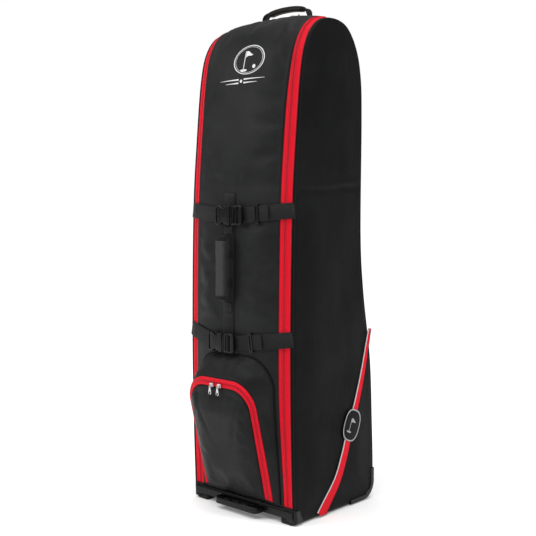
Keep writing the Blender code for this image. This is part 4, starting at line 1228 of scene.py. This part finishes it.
def buckle(name, s, x):
    """A side-release buckle: u runs along the strap, v up it."""
    point, across, up, out = strip_frame(s, x)
    seat = point + out * 0.0052
    at = lambda high: place_matrix(seat + out * high, across, up, out)
    female = mirror_outline(
        [
            (-0.0430, 0.0215), (-0.0400, 0.0240), (-0.0300, 0.0240), (-0.0255, 0.0222), (-0.0215, 0.0182),
            (-0.0120, 0.0176), (-0.0070, 0.0205), (-0.0040, 0.0236), (0.0030, 0.0240), (0.0058, 0.0222),
        ][::-1]
    )
    slot_out = rounded(-0.0390, -0.0190, -0.0335, 0.0190, 0.0018)
    nodes = (f"{name}_buckle_female",)
    plate(f"{name}_female_face", [female, slot_out], 0.0046, at(0.0126), PLASTIC, "case", 0.0016, nodes)
    plate(f"{name}_female_back", [female, slot_out], 0.0040, at(0.0022), PLASTIC, "case", 0.0012)
    spine = mirror_outline([(-0.0215, 0.0100), (-0.0235, 0.0125), (-0.0290, 0.0120)])
    plate(f"{name}_female_core", [spine], 0.0100, at(0.0075), PLASTIC, "case", 0.0006)
    cheek = [(-0.0425, 0.0190), (-0.0425, 0.0234), (-0.0300, 0.0234), (-0.0262, 0.0214), (-0.0262, 0.0190)]
    lip = [(-0.0065, 0.0185), (-0.0035, 0.0228), (0.0030, 0.0232), (0.0050, 0.0220), (0.0050, 0.0185)]
    for edge, v in EDGES.items():
        for label, half in (("cheek", cheek), ("lip", lip)):
            outline = [(a, v * b) for a, b in half]
            plate(f"{name}_female_{label}_{edge}", [outline], 0.0100, at(0.0075), PLASTIC, "case", 0.0006)
    ring = [
        rounded(-0.0165, -0.0085, 0.0005, 0.0085, 0.0040),
        rounded(-0.0152, -0.0072, -0.0008, 0.0072, 0.0030),
    ]
    plate(f"{name}_female_inlay", ring, 0.0010, at(0.0149), PLASTIC, "case", 0.0003)

    body = f"{name}_buckle"
    base = mirror_outline(
        [
            (0.0068, 0.0180), (0.0074, 0.0226), (0.0100, 0.0240), (0.0380, 0.0240), (0.0424, 0.0215),
            (0.0430, 0.0170),
        ][::-1]
    )
    holes = [
        rounded(0.0165, -0.0192, 0.0215, 0.0192, 0.0016), rounded(0.0265, -0.0192, 0.0320, 0.0192, 0.0016)
    ]
    plate(
        f"{name}_male_frame", [base, *holes], 0.0072, at(0.0080), PLASTIC, body, 0.0018,
        (f"{name}_buckle_male",),
    )
    for u, high, thick in ((0.0090, 0.0106, 0.0050), (0.0240, 0.0118, 0.0036), (0.0375, 0.0100, 0.0052)):
        bar = rounded(u - 0.0022, -0.0215, u + 0.0022, 0.0215, 0.0016)
        plate(f"{name}_male_bar_{round(u * 1000)}", [bar], thick, at(high), PLASTIC, body, 0.0012)
    for edge, v in EDGES.items():
        arm = [
            (0.0100, 0.0150), (0.0100, 0.0185), (-0.0030, 0.0180), (-0.0080, 0.0186), (-0.0120, 0.0212),
            (-0.0175, 0.0218), (-0.0220, 0.0190), (-0.0235, 0.0160), (-0.0200, 0.0150), (-0.0120, 0.0160),
            (0.0, 0.0146),
        ]
        plate(
            f"{name}_male_arm_{edge}", [[(a, v * b) for a, b in arm]], 0.0060, at(0.0073), PLASTIC, body,
            0.0012,
        )
    guide = rounded(-0.0180, -0.0030, 0.0100, 0.0030, 0.0020)
    plate(f"{name}_male_guide", [guide], 0.0046, at(0.0073), PLASTIC, body, 0.0010)


def keeper_piece(name, s, x):
    """The sliding loop that holds a strap's free tail."""
    point, across, up, out = strip_frame(s, x)
    across, up = unit(across + up * sag_slope(name, 1)), unit(up - across * sag_slope(name, 1))
    for label, high, thick in (("face", 0.0066, 0.0020), ("back", 0.0009, 0.0010)):
        outline = rounded(-0.0060, -0.0235, 0.0060, 0.0235, 0.0025)
        holes = [rounded(-0.0022, -0.0170, 0.0022, 0.0170, 0.0015)] if label == "face" else []
        at = place_matrix(point + out * high, across, up, out)
        nodes = (f"{name}_keeper",) if label == "face" else ()
        plate(
            f"{name}_keeper_{label}", [outline, *holes], thick, at, PLASTIC, f"{name}_keeper", 0.0005, nodes
        )
    for edge, v in EDGES.items():
        at = place_matrix(point + out * 0.0038 + up * v * 0.0217, across, up, out)
        outline = rounded(-0.0058, -0.0016, 0.0058, 0.0016, 0.0008)
        plate(f"{name}_keeper_end_{edge}", [outline], 0.0052, at, PLASTIC, f"{name}_keeper", 0.0005)


# ------------------------------------------------------------- handles


def front_handle():
    """The carry handle on the front: its column, loop, padded grip and sewn feet."""
    s = np.linspace(front_s(0.4325), front_s(0.7990), 70)
    cover = 0.0006 + 0.0002 * np.sin(s * 90)
    ribbon("handle_column", s, COLUMN_X + 0 * s, cover, 0.038, 0.0015, "case", ("handle_backing",))
    # a near-black strip on the column between the loop's feet: painted shadow in the hole behind the grip
    s = np.linspace(front_s(0.5450), front_s(0.6930), 40)
    ribbon("handle_painted_shadow", s, COLUMN_X + 0 * s, 0.0012 + 0 * s, 0.031, 0.0008, "case", mat=PAINTED_SHADOW_WEB)
    low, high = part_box("front_handle_grip")
    stand = (low.y + high.y) / 2
    mid_z = (low.z + high.z) / 2
    loop_low, loop_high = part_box("front_handle_loop")
    ends = {1: loop_high.z - 0.003, -1: loop_low.z + 0.003}
    half_loop = []
    for sign in (1, -1):
        z, face = ends[sign], float(surf(front_s(ends[sign]), COLUMN_X)[1])
        leg = [
            (face - 0.0062, z + sign * 0.0012), (face - 0.0140, z), (stand + 0.0060, z - sign * 0.0012),
            (stand + 0.0014, z - sign * 0.0050), (stand, z - sign * 0.0130),
        ]
        half_loop.append([(COLUMN_X, a, b) for a, b in leg])
    path = spline([*half_loop[0], (COLUMN_X, stand, mid_z), *half_loop[1][::-1]], 110)
    side = np.array([1.0, 0, 0]) * np.ones_like(path)
    normal = unit(np.cross(side, tangents(path)))
    face = surf(front_s(path[:, 2]), COLUMN_X)[:, 1]
    widths = 2 * np.minimum(0.0145, 0.0040 + 0.72 * np.clip(face - 0.0068 - path[:, 1], 0, 1))
    section = np.array([flat_section(w, 0.0026) for w in widths])
    sweep("handle_strap", path, side, normal, section, WEB, "front_handle", ("front_handle_loop",))
    # the grip: webbing and foam folded round and sewn along its back edge
    rows = []
    z = np.linspace(low.z + 0.001, high.z - 0.001, 60)
    turn = np.linspace(0, 2 * math.pi, 36, endpoint=False)
    shape = []
    for zz in z:
        end = min(zz - low.z, high.z - zz)
        fat = 0.93 + 0.07 * float(smooth(end / 0.006))
        squeeze = 1 - 0.05 * math.exp(-(((zz - mid_z) / 0.03) ** 2)) + 0.012 * math.sin(zz * 260)
        c, w = np.cos(turn), np.sin(turn)
        px = 0.0157 * fat * squeeze * np.sign(c) * np.abs(c) ** 0.50
        py = 0.0076 * fat * np.sign(w) * np.abs(w) ** 0.60
        rows.append(
            np.stack([COLUMN_X + px, stand + py + 0.0004 * np.sin(zz * 190), zz * np.ones_like(px)], -1)
        )
        shape.append(np.stack([zz * np.ones_like(px), turn * 0.011], -1))
    points = np.transpose(np.array(rows), (1, 0, 2))
    uv = np.transpose(np.array(shape), (1, 0, 2))
    mesh = grid_mesh("handle_grip", points, uv, inside=[COLUMN_X, stand, mid_z], wrap=True)
    close_ends(mesh)
    # the grip's webbing is lighter than the other webbing: painted light on its front
    grip = piece("handle_grip", mesh, PAINTED_LIGHT_GRIP, "front_handle", ("front_handle_grip",), 60)
    zz = np.linspace(low.z + 0.005, high.z - 0.005, 30)
    edge = [
        (np.stack([COLUMN_X + k * 0.0100 + 0 * zz, stand - 0.0076 + 0 * zz, zz], -1), [0, -1, 0])
        for k in (-1, 0, 1)
    ]
    stitches("handle_stitch", edge, BLACK_THREAD, "front_handle", 0.0036, 0.0026)
    # the sewn feet on the column
    rows = []
    for name, z0, z1 in (
        ("top", ends[1] + 0.001, ends[1] + 0.0180), ("bottom", ends[-1] - 0.0260, ends[-1] - 0.0045)
    ):
        s = np.linspace(front_s(z0), front_s(z1), 10)
        ribbon(f"handle_foot_{name}", s, COLUMN_X + 0 * s, 0.0022 + 0 * s, 0.0290, 0.0022, "case")
        rows += box_stitch(s[1], s[-2], COLUMN_X - 0.0115, COLUMN_X + 0.0115, 0.0046)
    for z0, z1 in ((0.4345, 0.4375), (0.7935, 0.7965), (0.4980, 0.5010)):
        for z in (z0, z1):
            x = np.linspace(COLUMN_X - 0.016, COLUMN_X + 0.016, 9)
            s = float(front_s(z))
            rows.append((surf(s, x, 0.0024), unit(surf(s, x, 0.02) - surf(s, x))))
    stitches("column_stitch", rows, BLACK_THREAD, "case", 0.0032, 0.0023)


def top_handle():
    """The handle on the crown: its patch, loop and moulded sleeve."""
    low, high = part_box("top_handle_loop")
    grip_low, grip_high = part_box("top_handle_grip")
    y = (low.y + high.y) / 2
    s = float(crown_s(0.024))
    middle, half = (low.x + high.x) / 2, (high.x - low.x) / 2 - 0.004
    x = middle + np.linspace(-half - 0.018, half + 0.018, 60)
    ribbon("top_handle_base", s + 0 * x, x, 0.0012 + 0 * x, 0.025, 0.0016, "case", ("top_handle_patch",))
    ends = [float(surf(s, middle + k * half, 0.0038)[2]) for k in (-1, 1)]
    top = high.z - 0.0025
    bow = [
        (-0.99, top - 0.0230), (-0.925, top - 0.0110), (-0.76, top - 0.0055), (-0.42, top - 0.0014),
        (0, top),
    ]
    bow += [(-a, b) for a, b in bow[-2::-1]]
    arc = [(-1, ends[0]), (-1, ends[0] + 0.008), *bow, (1, ends[1] + 0.008), (1, ends[1])]
    arc = [(middle + half * a, b) for a, b in arc]
    path = spline([(a, y, b) for a, b in arc], 110)
    side = np.array([0, 1.0, 0]) * np.ones_like(path)
    normal = unit(np.cross(tangents(path), side))
    widths = 2 * np.minimum(0.01175, 0.0036 + 0.40 * np.clip(path[:, 2] - low.z, 0, 1))
    section = np.array([flat_section(w, 0.0028) for w in widths])
    sweep("top_handle_strap", path, side, normal, section, WEB, "top_handle", ("top_handle_loop",))
    # the moulded sleeve, with ribs underneath
    t = np.linspace(0, 1, 70)
    inner = np.array([(middle + 0.98 * (a - middle), b) for a, b in arc[4:9]])
    dense = spline([(a, y, b) for a, b in inner], 400)
    run = lengths(dense)
    spine = np.stack([np.interp(t * run[-1], run, dense[:, k]) for k in range(3)], -1)
    along = tangents(spine)
    out = unit(np.cross(along, np.array([0, 1.0, 0]) * np.ones_like(along)))
    out *= np.sign(out[:, 2:3])
    turn = np.linspace(0, 2 * math.pi, 32, endpoint=False)
    rings, uv = [], []
    for i in range(70):
        end = min(t[i], 1 - t[i])
        fat = 0.86 + 0.14 * float(smooth(end / 0.05))
        c, w = np.cos(turn), np.sin(turn)
        rib = 0.0005 * np.maximum(0, -w) * math.sin(t[i] * 2 * math.pi * 16)
        a = 0.0112 * fat * np.sign(c) * np.abs(c) ** 0.7
        b = (np.where(w > 0, 0.0066, 0.0078) * fat) * np.sign(w) * np.abs(w) ** 0.75 + rib
        rings.append(spine[i] + np.array([0, 1.0, 0]) * a[:, None] + out[i] * b[:, None])
        uv.append(np.stack([np.full(32, t[i] * 0.13), turn * 0.009], -1))
    points, uv = (np.transpose(np.array(k), (1, 0, 2)) for k in (rings, uv))
    mesh = grid_mesh("top_handle_sleeve", points, uv, inside=(grip_low + grip_high) / 2, wrap=True)
    close_ends(mesh)
    sleeve = piece("top_handle_sleeve", mesh, RUBBER, "top_handle", ("top_handle_grip",), 50)
    rows = []
    for sign in SIDES.values():
        near, far = middle + sign * (half + 0.0045), middle + sign * (half + 0.0165)
        rows += box_stitch(s - 0.0095, s + 0.0095, near, far, 0.0030)
    stitches("top_handle_stitch", rows, BLACK_THREAD, "case", 0.0030, 0.0022)


# ------------------------------------------------------------- base, wheels and trim


def base():
    """The tray, the foot bar, the corner feet and the guards on the front corners."""
    low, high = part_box("base_tray")
    at = level_at(0, (low.y + high.y) / 2, low.z + 0.0022)
    depth = (high.y - low.y) / 2
    outline = [
        (-0.1680, -depth + 0.004), (-0.164, -depth), (0.164, -depth), (0.1680, -depth + 0.004),
        (0.1680, 0.0745), (0.1015, 0.0745), (0.1015, depth), (-0.1015, depth), (-0.1015, 0.0745),
        (-0.1680, 0.0745),
    ]
    plate("tray_floor", [outline], 0.0042, at, PLASTIC, "case", 0.0012, ("base_tray",))
    for k, x in enumerate(np.linspace(-0.09, 0.09, 7)):
        rib = rounded(x - 0.0022, -depth + 0.012, x + 0.0022, depth - 0.012, 0.002)
        at_rib = level_at(0, (low.y + high.y) / 2, low.z + 0.0004)
        plate(f"tray_rib_{k}", [rib], 0.0030, at_rib, PLASTIC, "case", 0.0009)
    # the moulded skirt under the front panel, one lip above its foot
    x = np.linspace(-0.1690, 0.1690, 60)
    profile = [
        (0.0, 0.0130), (-0.0022, 0.0142), (-0.0032, 0.0175), (-0.0030, 0.0290), (-0.0022, 0.0335),
        (-0.0004, 0.0368), (0.0030, 0.0376), (0.0030, 0.0130),
    ]
    front = low.y - 0.0004
    rise = 0.0022 * np.cos(x / 0.169 * math.pi / 2)
    path = np.stack([x, front + 0 * x, 0 * x], -1)
    section = np.array([[(a, b + (r if b < 0.02 else 0)) for a, b in profile] for r in rise])
    sweep("tray_skirt_front", path, [0, 1, 0], [0, 0, 1], section, PLASTIC, "case", (), 40)
    path = np.stack([np.linspace(-0.1005, 0.1005, 30), high.y + 0.0004 + np.zeros(30), np.zeros(30)], -1)
    sweep("tray_skirt_rear", path, [0, -1, 0], [0, 0, 1], profile, PLASTIC, "case", (), 40)

    # the foot bar, also a grab handle
    low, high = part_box("front_foot_bar")
    reach = high.y - low.y
    half = (high.x - low.x) / 2
    inside = half - 0.0155
    corner = [
        (half, 0), (half, -reach + 0.012), (half - 0.0025, -reach + 0.005), (half - 0.0090, -reach + 0.0008),
        (half - 0.014, -reach),
    ]
    hollow = [
        (inside - 0.0070, -reach + 0.0150), (inside - 0.0025, -reach + 0.0160), (inside, -reach + 0.0200),
        (inside, 0),
    ]
    outer = [*corner, *[(-a, b) for a, b in corner[::-1]], *[(-a, b) for a, b in hollow[::-1]], *hollow]
    thick = high.z - low.z
    at = level_at(0, high.y, low.z + thick / 2)
    plate("foot_bar", [outer], thick, at, PLASTIC, "case", 0.0034, ("front_foot_bar",), 4)
    for k, x in enumerate((-0.030, 0.0, 0.030)):
        rib = rounded(x - 0.010, -reach + 0.0035, x + 0.010, -reach + 0.0115, 0.002)
        at_rib = level_at(0, high.y, high.z + 0.0002)
        plate(f"foot_bar_pad_{k}", [rib], 0.0016, at_rib, RUBBER, "case", 0.0006)
    for side, sign in SIDES.items():
        low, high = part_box(f"corner_foot_{side}")
        w, d, h = high.x - low.x, high.y - low.y, high.z - low.z
        at = level_at((low.x + high.x) / 2, (low.y + high.y) / 2, low.z + h / 2)
        plate(
            f"foot_{side}", [rounded(-w / 2, -d / 2, w / 2, d / 2, 0.008)], h, at, RUBBER, "case", 0.0030,
            (f"corner_foot_{side}",), 4,
        )
        # a moulded guard wraps the front corner of the shell
        z = np.linspace(0.0055, 0.0385, 12)
        turn = np.linspace(0, math.pi / 2, 9)
        y0 = -0.1545 + SHIFT
        corner = [(-0.006 + 0.006 * math.sin(a), 0.006 - 0.006 * math.cos(a)) for a in turn]
        line = np.array([(-0.030, 0.0), *corner, (0, 0.030)])
        rows = []
        for zz in z:
            shorter = 1 - 0.45 * (zz - 0.0055) / 0.033
            rows.append([(sign * (HALF_WIDTH + 0.0006 + a), y0 - 0.0035 + b * shorter, zz) for a, b in line])
        points = np.array(rows)
        mesh = grid_mesh(
            f"corner_guard_{side}", points, cross_uv(z, np.linspace(0, 0.06, len(line))),
            inside=[0, SHIFT, 0.02],
        )
        obj = piece(f"corner_guard_{side}", mesh, PLASTIC, "case", (), 60)
        solid(obj, 0.0014)


def wheels():
    """The wheels and their bearings, and the guards on the rear corners."""
    for side, sign in SIDES.items():
        body = f"wheel_{side}"
        low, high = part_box(f"wheel_tyre_{side}")
        centre = np.array((low + high) / 2)
        radius, half = (high.z - low.z) / 2, (high.x - low.x) / 2
        turn = np.linspace(0, 2 * math.pi, 96, endpoint=False)
        section = [
            (0.0240, -half + 0.0012), (0.0245, -half), (0.0305, -half), (0.0340, -0.0102), (0.0366, -0.0075),
            (0.0377, -0.0045), (radius, -0.0016), (radius, 0.0016), (0.0377, 0.0045), (0.0366, 0.0075),
            (0.0340, 0.0102), (0.0305, half), (0.0245, half), (0.0240, half - 0.0012),
        ]
        rings = []
        for k, a in enumerate(turn):
            # every fourth ring is cut in at the shoulders, as a tread
            cut = 0.0007 if k % 4 == 0 else 0.0
            ring = [(r - (cut if r > 0.035 and abs(x) > 0.003 else 0), x) for r, x in section]
            rings.append([centre + (x, r * math.cos(a), r * math.sin(a)) for r, x in ring])
        points = np.array(rings)
        uv = cross_uv(turn * radius, np.linspace(0, 0.05, len(section)))
        mesh = grid_mesh(f"tyre_{side}", points, uv, inside=centre, wrap=True)
        piece(f"tyre_{side}", mesh, RUBBER, body, (f"wheel_tyre_{side}",), 40)
        spin = lambda a, r: (r * math.cos(a), r * math.sin(a))
        rim, bore = circle(0.0238, 64), circle(0.0112, 40)
        holes = []
        for k in range(6):
            mid = k * math.pi / 3
            outer = [spin(mid + a, 0.0205) for a in np.linspace(-0.36, 0.36, 8)]
            inner = [spin(mid + a, 0.0150) for a in np.linspace(0.26, -0.26, 6)]
            holes.append([*outer, *inner])
        at = place_matrix(centre, (0, 1, 0), (0, 0, 1), (1, 0, 0))
        plate(
            f"hub_{side}", [rim, bore, *holes], 2 * half - 0.003, at, HUB, body, 0.0010,
            (f"wheel_hub_{side}",),
        )
        for node in (f"wheel_bearing_outer_{side}", f"wheel_bearing_inner_{side}"):
            low_b, high_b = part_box(node)
            at = place_matrix(np.array((low_b + high_b) / 2), (0, 1, 0), (0, 0, 1), (1, 0, 0))
            for label, big, small in (("race", 0.0110, 0.0088), ("core", 0.0066, 0.0044)):
                nodes = (node,) if label == "race" else ()
                rings = [circle(big, 48), circle(small, 48)]
                plate(f"{node}_{label}", rings, 0.0068, at, NICKEL, body, 0.0005, nodes)
            rings = [circle(0.0089, 48), circle(0.0065, 48)]
            plate(f"{node}_shield", rings, 0.0058, at, RUBBER, body, 0.0003)
        recolour(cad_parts[f"axle_bolt_{side}"], NICKEL)
        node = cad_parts[f"wheel_housing_{side}"]
        recolour(node, PLASTIC)
        soften = node.modifiers.new("rounding", "BEVEL")
        soften.width = 0.0022
        soften.segments = 3
        soften.angle_limit = math.radians(40)
        # the guard that wraps the rear corner, over the housing
        quarter = np.linspace(0.0, math.pi / 2, 12)[::-1]
        line = [(HEEL_Y - HEEL_RADIUS + 0.0425 * math.cos(a), HEEL_Z - 0.0425 * math.sin(a)) for a in quarter]
        line = [(0.060, 0.0035), (0.090, 0.0035), *line, (0.1580, 0.062), (0.1580, 0.0795)]
        path = np.array([(0, a + SHIFT, b) for a, b in line])
        along = tangents(path)
        out = np.stack([0 * along[:, 0], along[:, 2], -along[:, 1]], -1)
        section = [
            (-0.0075, -0.0022), (-0.0075, 0.0004), (-0.0060, 0.0014), (0.0008, 0.0016), (0.0026, 0.0008),
            (0.0032, -0.0010), (0.0030, -0.0110), (0.0016, -0.0118), (0.0010, -0.0030),
        ]
        path = path + np.array([sign * (HALF_WIDTH - 0.0015), 0, 0])
        sweep(f"heel_guard_{side}", path, [sign, 0, 0], out, section, PLASTIC, "case", (), 45)


def recolour(node, mat):
    node.data.materials.clear()
    node.data.materials.append(mat)


def rails():
    """The two skid rails on the back, with their rivets."""
    for side, sign in SIDES.items():
        s = np.linspace(rear_s(0.600), rear_s(0.120), 90)
        x = sign * RAIL_X + 0 * s
        end = np.minimum(s - s[0], s[-1] - s)
        high = 0.0015 + 0.0050 * smooth(end / 0.018)
        path = surf(s, x, 0.0)
        out = unit(surf(s, x, 0.01) - path)
        section = np.array(
            [
                [
                    (-0.0070, 0.0), (-0.0066, 0.55 * h), (-0.0048, 0.92 * h), (-0.0022, h), (0, h - 0.0006),
                    (0.0022, h), (0.0048, 0.92 * h), (0.0066, 0.55 * h), (0.0070, 0.0),
                ]
                for h in high
            ]
        )
        sweep(f"rail_{side}", path, [1, 0, 0], out, section, PLASTIC, "case", (f"skid_rail_{side}",), 50)
        for k, z in enumerate((0.585, 0.36, 0.135)):
            point, across, up, outward = strip_frame(
                float(rear_s(z)), sign * RAIL_X, 0.0062 if k == 1 else 0.0052
            )
            plate(
                f"rail_rivet_{side}_{k}", [circle(0.0026, 20)], 0.0014,
                place_matrix(point, across, up, outward), NICKEL, "case", 0.0005,
            )


def inner_straps():
    """The two straps inside that hold the bag."""
    s = float(rear_s(0.62))
    for side, sign in SIDES.items():
        x = np.linspace(0.004, EDGE_X - 0.005, 40) * sign
        path = surf(s + 0 * x, x, -0.0085)
        out = unit(surf(s + 0 * x, x, 0.0) - surf(s + 0 * x, x, -0.01))
        sweep(
            f"bag_strap_{side}", path, unit(np.cross(tangents(path), out)), out, flat_section(0.025, 0.0014),
            WEB, "case", (f"inner_strap_{side}",), 50,
        )


# the stripe's middle, (y, z), and half its width there
STRIPE = (
    (0.1345, 0.452, 0.0040),
    (0.108, 0.358, 0.0070),
    (0.076, 0.271, 0.0090),
    (0.042, 0.190, 0.0105),
    (0.023, 0.137, 0.0115),
    (-0.006, 0.079, 0.0125),
    (-0.0625, 0.0045, 0.0155),
)


def side_stripes():
    """The slanting stripe on each side, with silver piping on its upper edge and a badge on it."""
    for side, sign in SIDES.items():
        line = spline(STRIPE, 80)
        path = np.stack([sign * (HALF_WIDTH + 0.0008) + 0 * line[:, 0], line[:, 0] + SHIFT, line[:, 1]], -1)
        rim = np.minimum(line[:, 1] - 0.004, side_profile(line[:, 1])[1] - line[:, 0])
        path[:, 0] += sign * (0.0052 * smooth(rim / 0.085) + 0.0006)
        along = tangents(path)
        out = np.array([sign, 0, 0.0]) * np.ones_like(path)
        across = unit(np.cross(along, out)) * sign
        section = np.array(
            [
                [(-w, -0.0004), (-w, 0.0010), (0, 0.0013), (w, 0.0010), (w, -0.0004), (0, -0.0006)]
                for w in line[:, 2]
            ]
        )
        strips = [
            sweep(f"stripe_{side}", path, across, out, section, TAPE, "case", (f"side_stripe_{side}",), 40)
        ]
        # the piping lies along the stripe's front edge
        beside = across * (line[:, 2:3] + 0.0012)
        edge = path - beside + out * 0.0006
        if edge[40][1] >= path[40][1]:
            edge = path + beside + out * 0.0006
        strips.append(
            sweep(f"stripe_piping_{side}", edge, across, out, round_section(0.0015, 8), SILVER, "case")
        )
        back = 2 * path - edge + out * 0.0012
        strips.append(
            sweep(f"stripe_seam_{side}", back, across, out, round_section(0.0010, 8), BINDING, "case")
        )
        for strip in strips:
            # cut level with the side panel's foot
            for vertex in strip.data.vertices:
                vertex.co.z = max(vertex.co.z, SIDE_FOOT + 0.0002)
        badge(side, path, out)


def badge(side, path, out):
    """A rounded patch with a golf flag in a ring, on the stripe."""
    at = int(np.argmin(np.abs(path[:, 2] - 0.214)))
    point = path[at] + out[at] * 0.0016
    along = unit(path[at - 3] - path[at + 3])
    side_ways = unit(np.cross(along, out[at]))
    facing = np.cross(side_ways, along)
    if (facing * out[at]).sum() < 0:
        side_ways = -side_ways
    full = lambda k: math.copysign(abs(k) ** 0.75, k)
    turn = np.linspace(0, 2 * math.pi, 48, endpoint=False)
    edge = [(0.0325 * full(math.cos(a)), 0.0415 * full(math.sin(a))) for a in turn]
    shrink = lambda k: [(a * k, b * k) for a, b in edge]
    above = lambda h: place_matrix(point + out[at] * h, side_ways, along, out[at])
    plate(f"badge_patch_{side}", [edge], 0.0014, above(0), BINDING, "case", 0.0004)
    plate(f"badge_ring_{side}", [shrink(0.985), shrink(0.90)], 0.0010, above(0.0006), GREY, "case", 0.0002)
    for k, shape in enumerate(flag_shapes(0.040, -0.002)):
        plate(f"badge_flag_{side}_{k}", [shape], 0.0010, above(0.0006), GREY, "case", 0.0002)


def flag_shapes(size, lift):
    """A golf flag on its pole over a hole, as flat outlines about the middle."""
    k = size / 0.05
    pole = [
        (-0.0085 * k, -0.016 * k + lift), (-0.0063 * k, -0.016 * k + lift), (-0.0063 * k, 0.024 * k + lift),
        (-0.0085 * k, 0.024 * k + lift),
    ]
    ripple = lambda u: 0.0016 * math.sin(u * 5.5)
    fly = lambda u, height: (-0.0052 * k + 0.0215 * k * u, height * k + lift)
    wave = [(-0.0052 * k, 0.0235 * k + lift)]
    wave += [fly(u, 0.0235 - 0.0070 * u + ripple(u)) for u in np.linspace(0.1, 1, 8)]
    wave += [fly(u, 0.0095 + 0.0062 * u + ripple(u)) for u in np.linspace(1, 0, 9)]
    turn = np.linspace(0, 2 * math.pi, 28, endpoint=False)
    hole = [
        (0.0115 * k * math.cos(a) - 0.0074 * k, 0.0030 * k * math.sin(a) - 0.0200 * k + lift) for a in turn
    ]
    return [pole, wave, hole]


def print_on(name, shapes, s0, x0):
    """A flat print's mesh, cut fine enough to follow the shell, and its points on the shell."""
    mesh = filled_mesh(name, shapes)
    with edited(mesh) as bm:
        for _ in range(5):
            long = [e for e in bm.edges if e.calc_length() > 0.006]
            if not long:
                break
            bmesh.ops.subdivide_edges(bm, edges=long, cuts=1)
            bmesh.ops.triangulate(bm, faces=[f for f in bm.faces if len(f.verts) > 4])
    mesh.materials.clear()
    co = np.array([v.co for v in mesh.vertices])
    points = surf(s0 + co[:, 1], x0 + co[:, 0], 0.0)
    return mesh, points


def emblem():
    """The print on the hood: an oval ring with a golf flag and ball, over plain tapered lines."""
    turn = np.linspace(0, 2 * math.pi, 72, endpoint=False)
    ring = lambda k: [(0.016 + k * 0.050 * math.cos(a), k * 0.0345 * math.sin(a)) for a in turn]
    shapes = [ring(1.0), ring(0.945), ring(0.885), ring(0.865)]
    shapes += [[(a + 0.010, b) for a, b in shape] for shape in flag_shapes(0.052, -0.0035)]
    shapes.append(circle(0.0048, 24, 0.036, -0.0165))
    for y, half in ((-0.0455, 0.074), (-0.0540, 0.052)):
        for sign in SIDES.values():
            shapes.append(
                [
                    (sign * a, y + b)
                    for a, b in ((0.0085, -0.0018), (half, -0.0003), (half, 0.0003), (0.0085, 0.0018))
                ]
            )
    shapes.append(circle(0.0040, 24, 0, -0.0498))
    mesh, points = print_on("hood_print", shapes, float(front_s(1.117)), 0.004)
    shell = bpy.data.objects["front_shell"]
    lay_on(mesh, points, shell)
    obj = piece("hood_print", mesh, WHITE, "hood", (), 0)
    made = obj.modifiers.new("ink", "SOLIDIFY")
    made.thickness, made.offset = 0.0003, 1


def lay_on(mesh, points, shell):
    """Moves the print's points onto the settled fabric."""
    tree = BVHTree.FromPolygons(
        [v.co for v in shell.data.vertices], [p.vertices for p in shell.data.polygons]
    )
    out = []
    for p in points:
        hit = tree.find_nearest(Vector(p))
        normal = hit[1] if hit[1].dot(Vector(p) - Vector(CENTRE)) > 0 else -hit[1]
        out.append(hit[0] + normal * 0.00035)
    mesh.vertices.foreach_set("co", np.array(out).ravel())
    mesh.update()
    if mesh.polygons[0].normal.dot(Vector(out[0]) - Vector(CENTRE)) < 0:
        mesh.flip_normals()


# ------------------------------------------------------------- floor, light and camera


def stage():
    """The white floor and studio, three lamps and the camera."""
    bpy.ops.mesh.primitive_plane_add(size=60, location=(0, 0, -0.0002))
    floor = bpy.context.object
    floor.name = "floor"
    paper = Nodes("paper_floor", (0.93, 0.93, 0.93), 0.9)
    paper.colour(paper.noise(3.0), (0.925, 0.925, 0.925), (0.945, 0.945, 0.945))
    paper.shader.inputs["Emission Color"].default_value = (1, 1, 1, 1)
    paper.shader.inputs["Emission Strength"].default_value = 0.12
    paper.shader.inputs["Specular IOR Level"].default_value = 0.1
    floor.data.materials.append(paper.mat)
    # the studio is white where it is seen, and lights the object more gently
    world = bpy.data.worlds.new("studio")
    scene.world = world
    world.use_nodes = True
    tree = world.node_tree
    shine = tree.nodes["Background"]
    shine.inputs["Color"].default_value = (1, 1, 1, 1)
    seen = tree.nodes.new("ShaderNodeLightPath").outputs["Is Camera Ray"]
    level = tree.nodes.new("ShaderNodeMapRange")
    tree.links.new(seen, level.inputs[0])
    level.inputs[3].default_value, level.inputs[4].default_value = STUDIO_LIGHT, 1.0
    tree.links.new(level.outputs[0], shine.inputs["Strength"])

    def lamp(name, where, aim, size, power):
        light = bpy.data.lights.new(name, "AREA")
        light.shape = "RECTANGLE"
        light.size, light.size_y = size
        light.energy = power
        obj = bpy.data.objects.new(name, light)
        obj.location = where
        obj.rotation_euler = (Vector(aim) - Vector(where)).to_track_quat("-Z", "Y").to_euler()
        scene.collection.objects.link(obj)

    lamp("key", (-1.5, -2.2, 2.3), (0, 0, 0.75), (0.9, 1.6), 42)
    lamp("rim", (2.4, 0.6, 1.9), (0, 0, 0.7), (0.5, 1.8), 24)
    sun = bpy.data.lights.new("overhead", "SUN")
    sun.energy, sun.angle = 2.35, math.radians(50)
    obj = bpy.data.objects.new("overhead", sun)
    obj.rotation_euler = (math.radians(8), math.radians(4), 0)
    scene.collection.objects.link(obj)

    camera = bpy.data.cameras.new("camera")
    camera.sensor_width = 36
    camera.lens = 62.0
    obj = bpy.data.objects.new("camera", camera)
    scene.collection.objects.link(obj)
    scene.camera = obj
    turn, pitch = math.radians(42.54), math.radians(4.0)
    obj.location = (1.591, -1.797 + SHIFT, 0.775)
    forward = Vector((-math.sin(turn) * math.cos(pitch), math.cos(turn) * math.cos(pitch), -math.sin(pitch)))
    obj.rotation_euler = forward.to_track_quat("-Z", "Y").to_euler()
    scene.view_settings.view_transform = "Standard"
    scene.view_settings.look = "None"


front_shell()
hood_pad()
rear_shell()
for side_name, side_sign in SIDES.items():
    side_shell(side_name, side_sign)
piping()
main_zip()
main_sliders()
pocket()
pocket_sliders()
straps()
front_handle()
top_handle()
base()
wheels()
rails()
inner_straps()
side_stripes()
emblem()
stage()
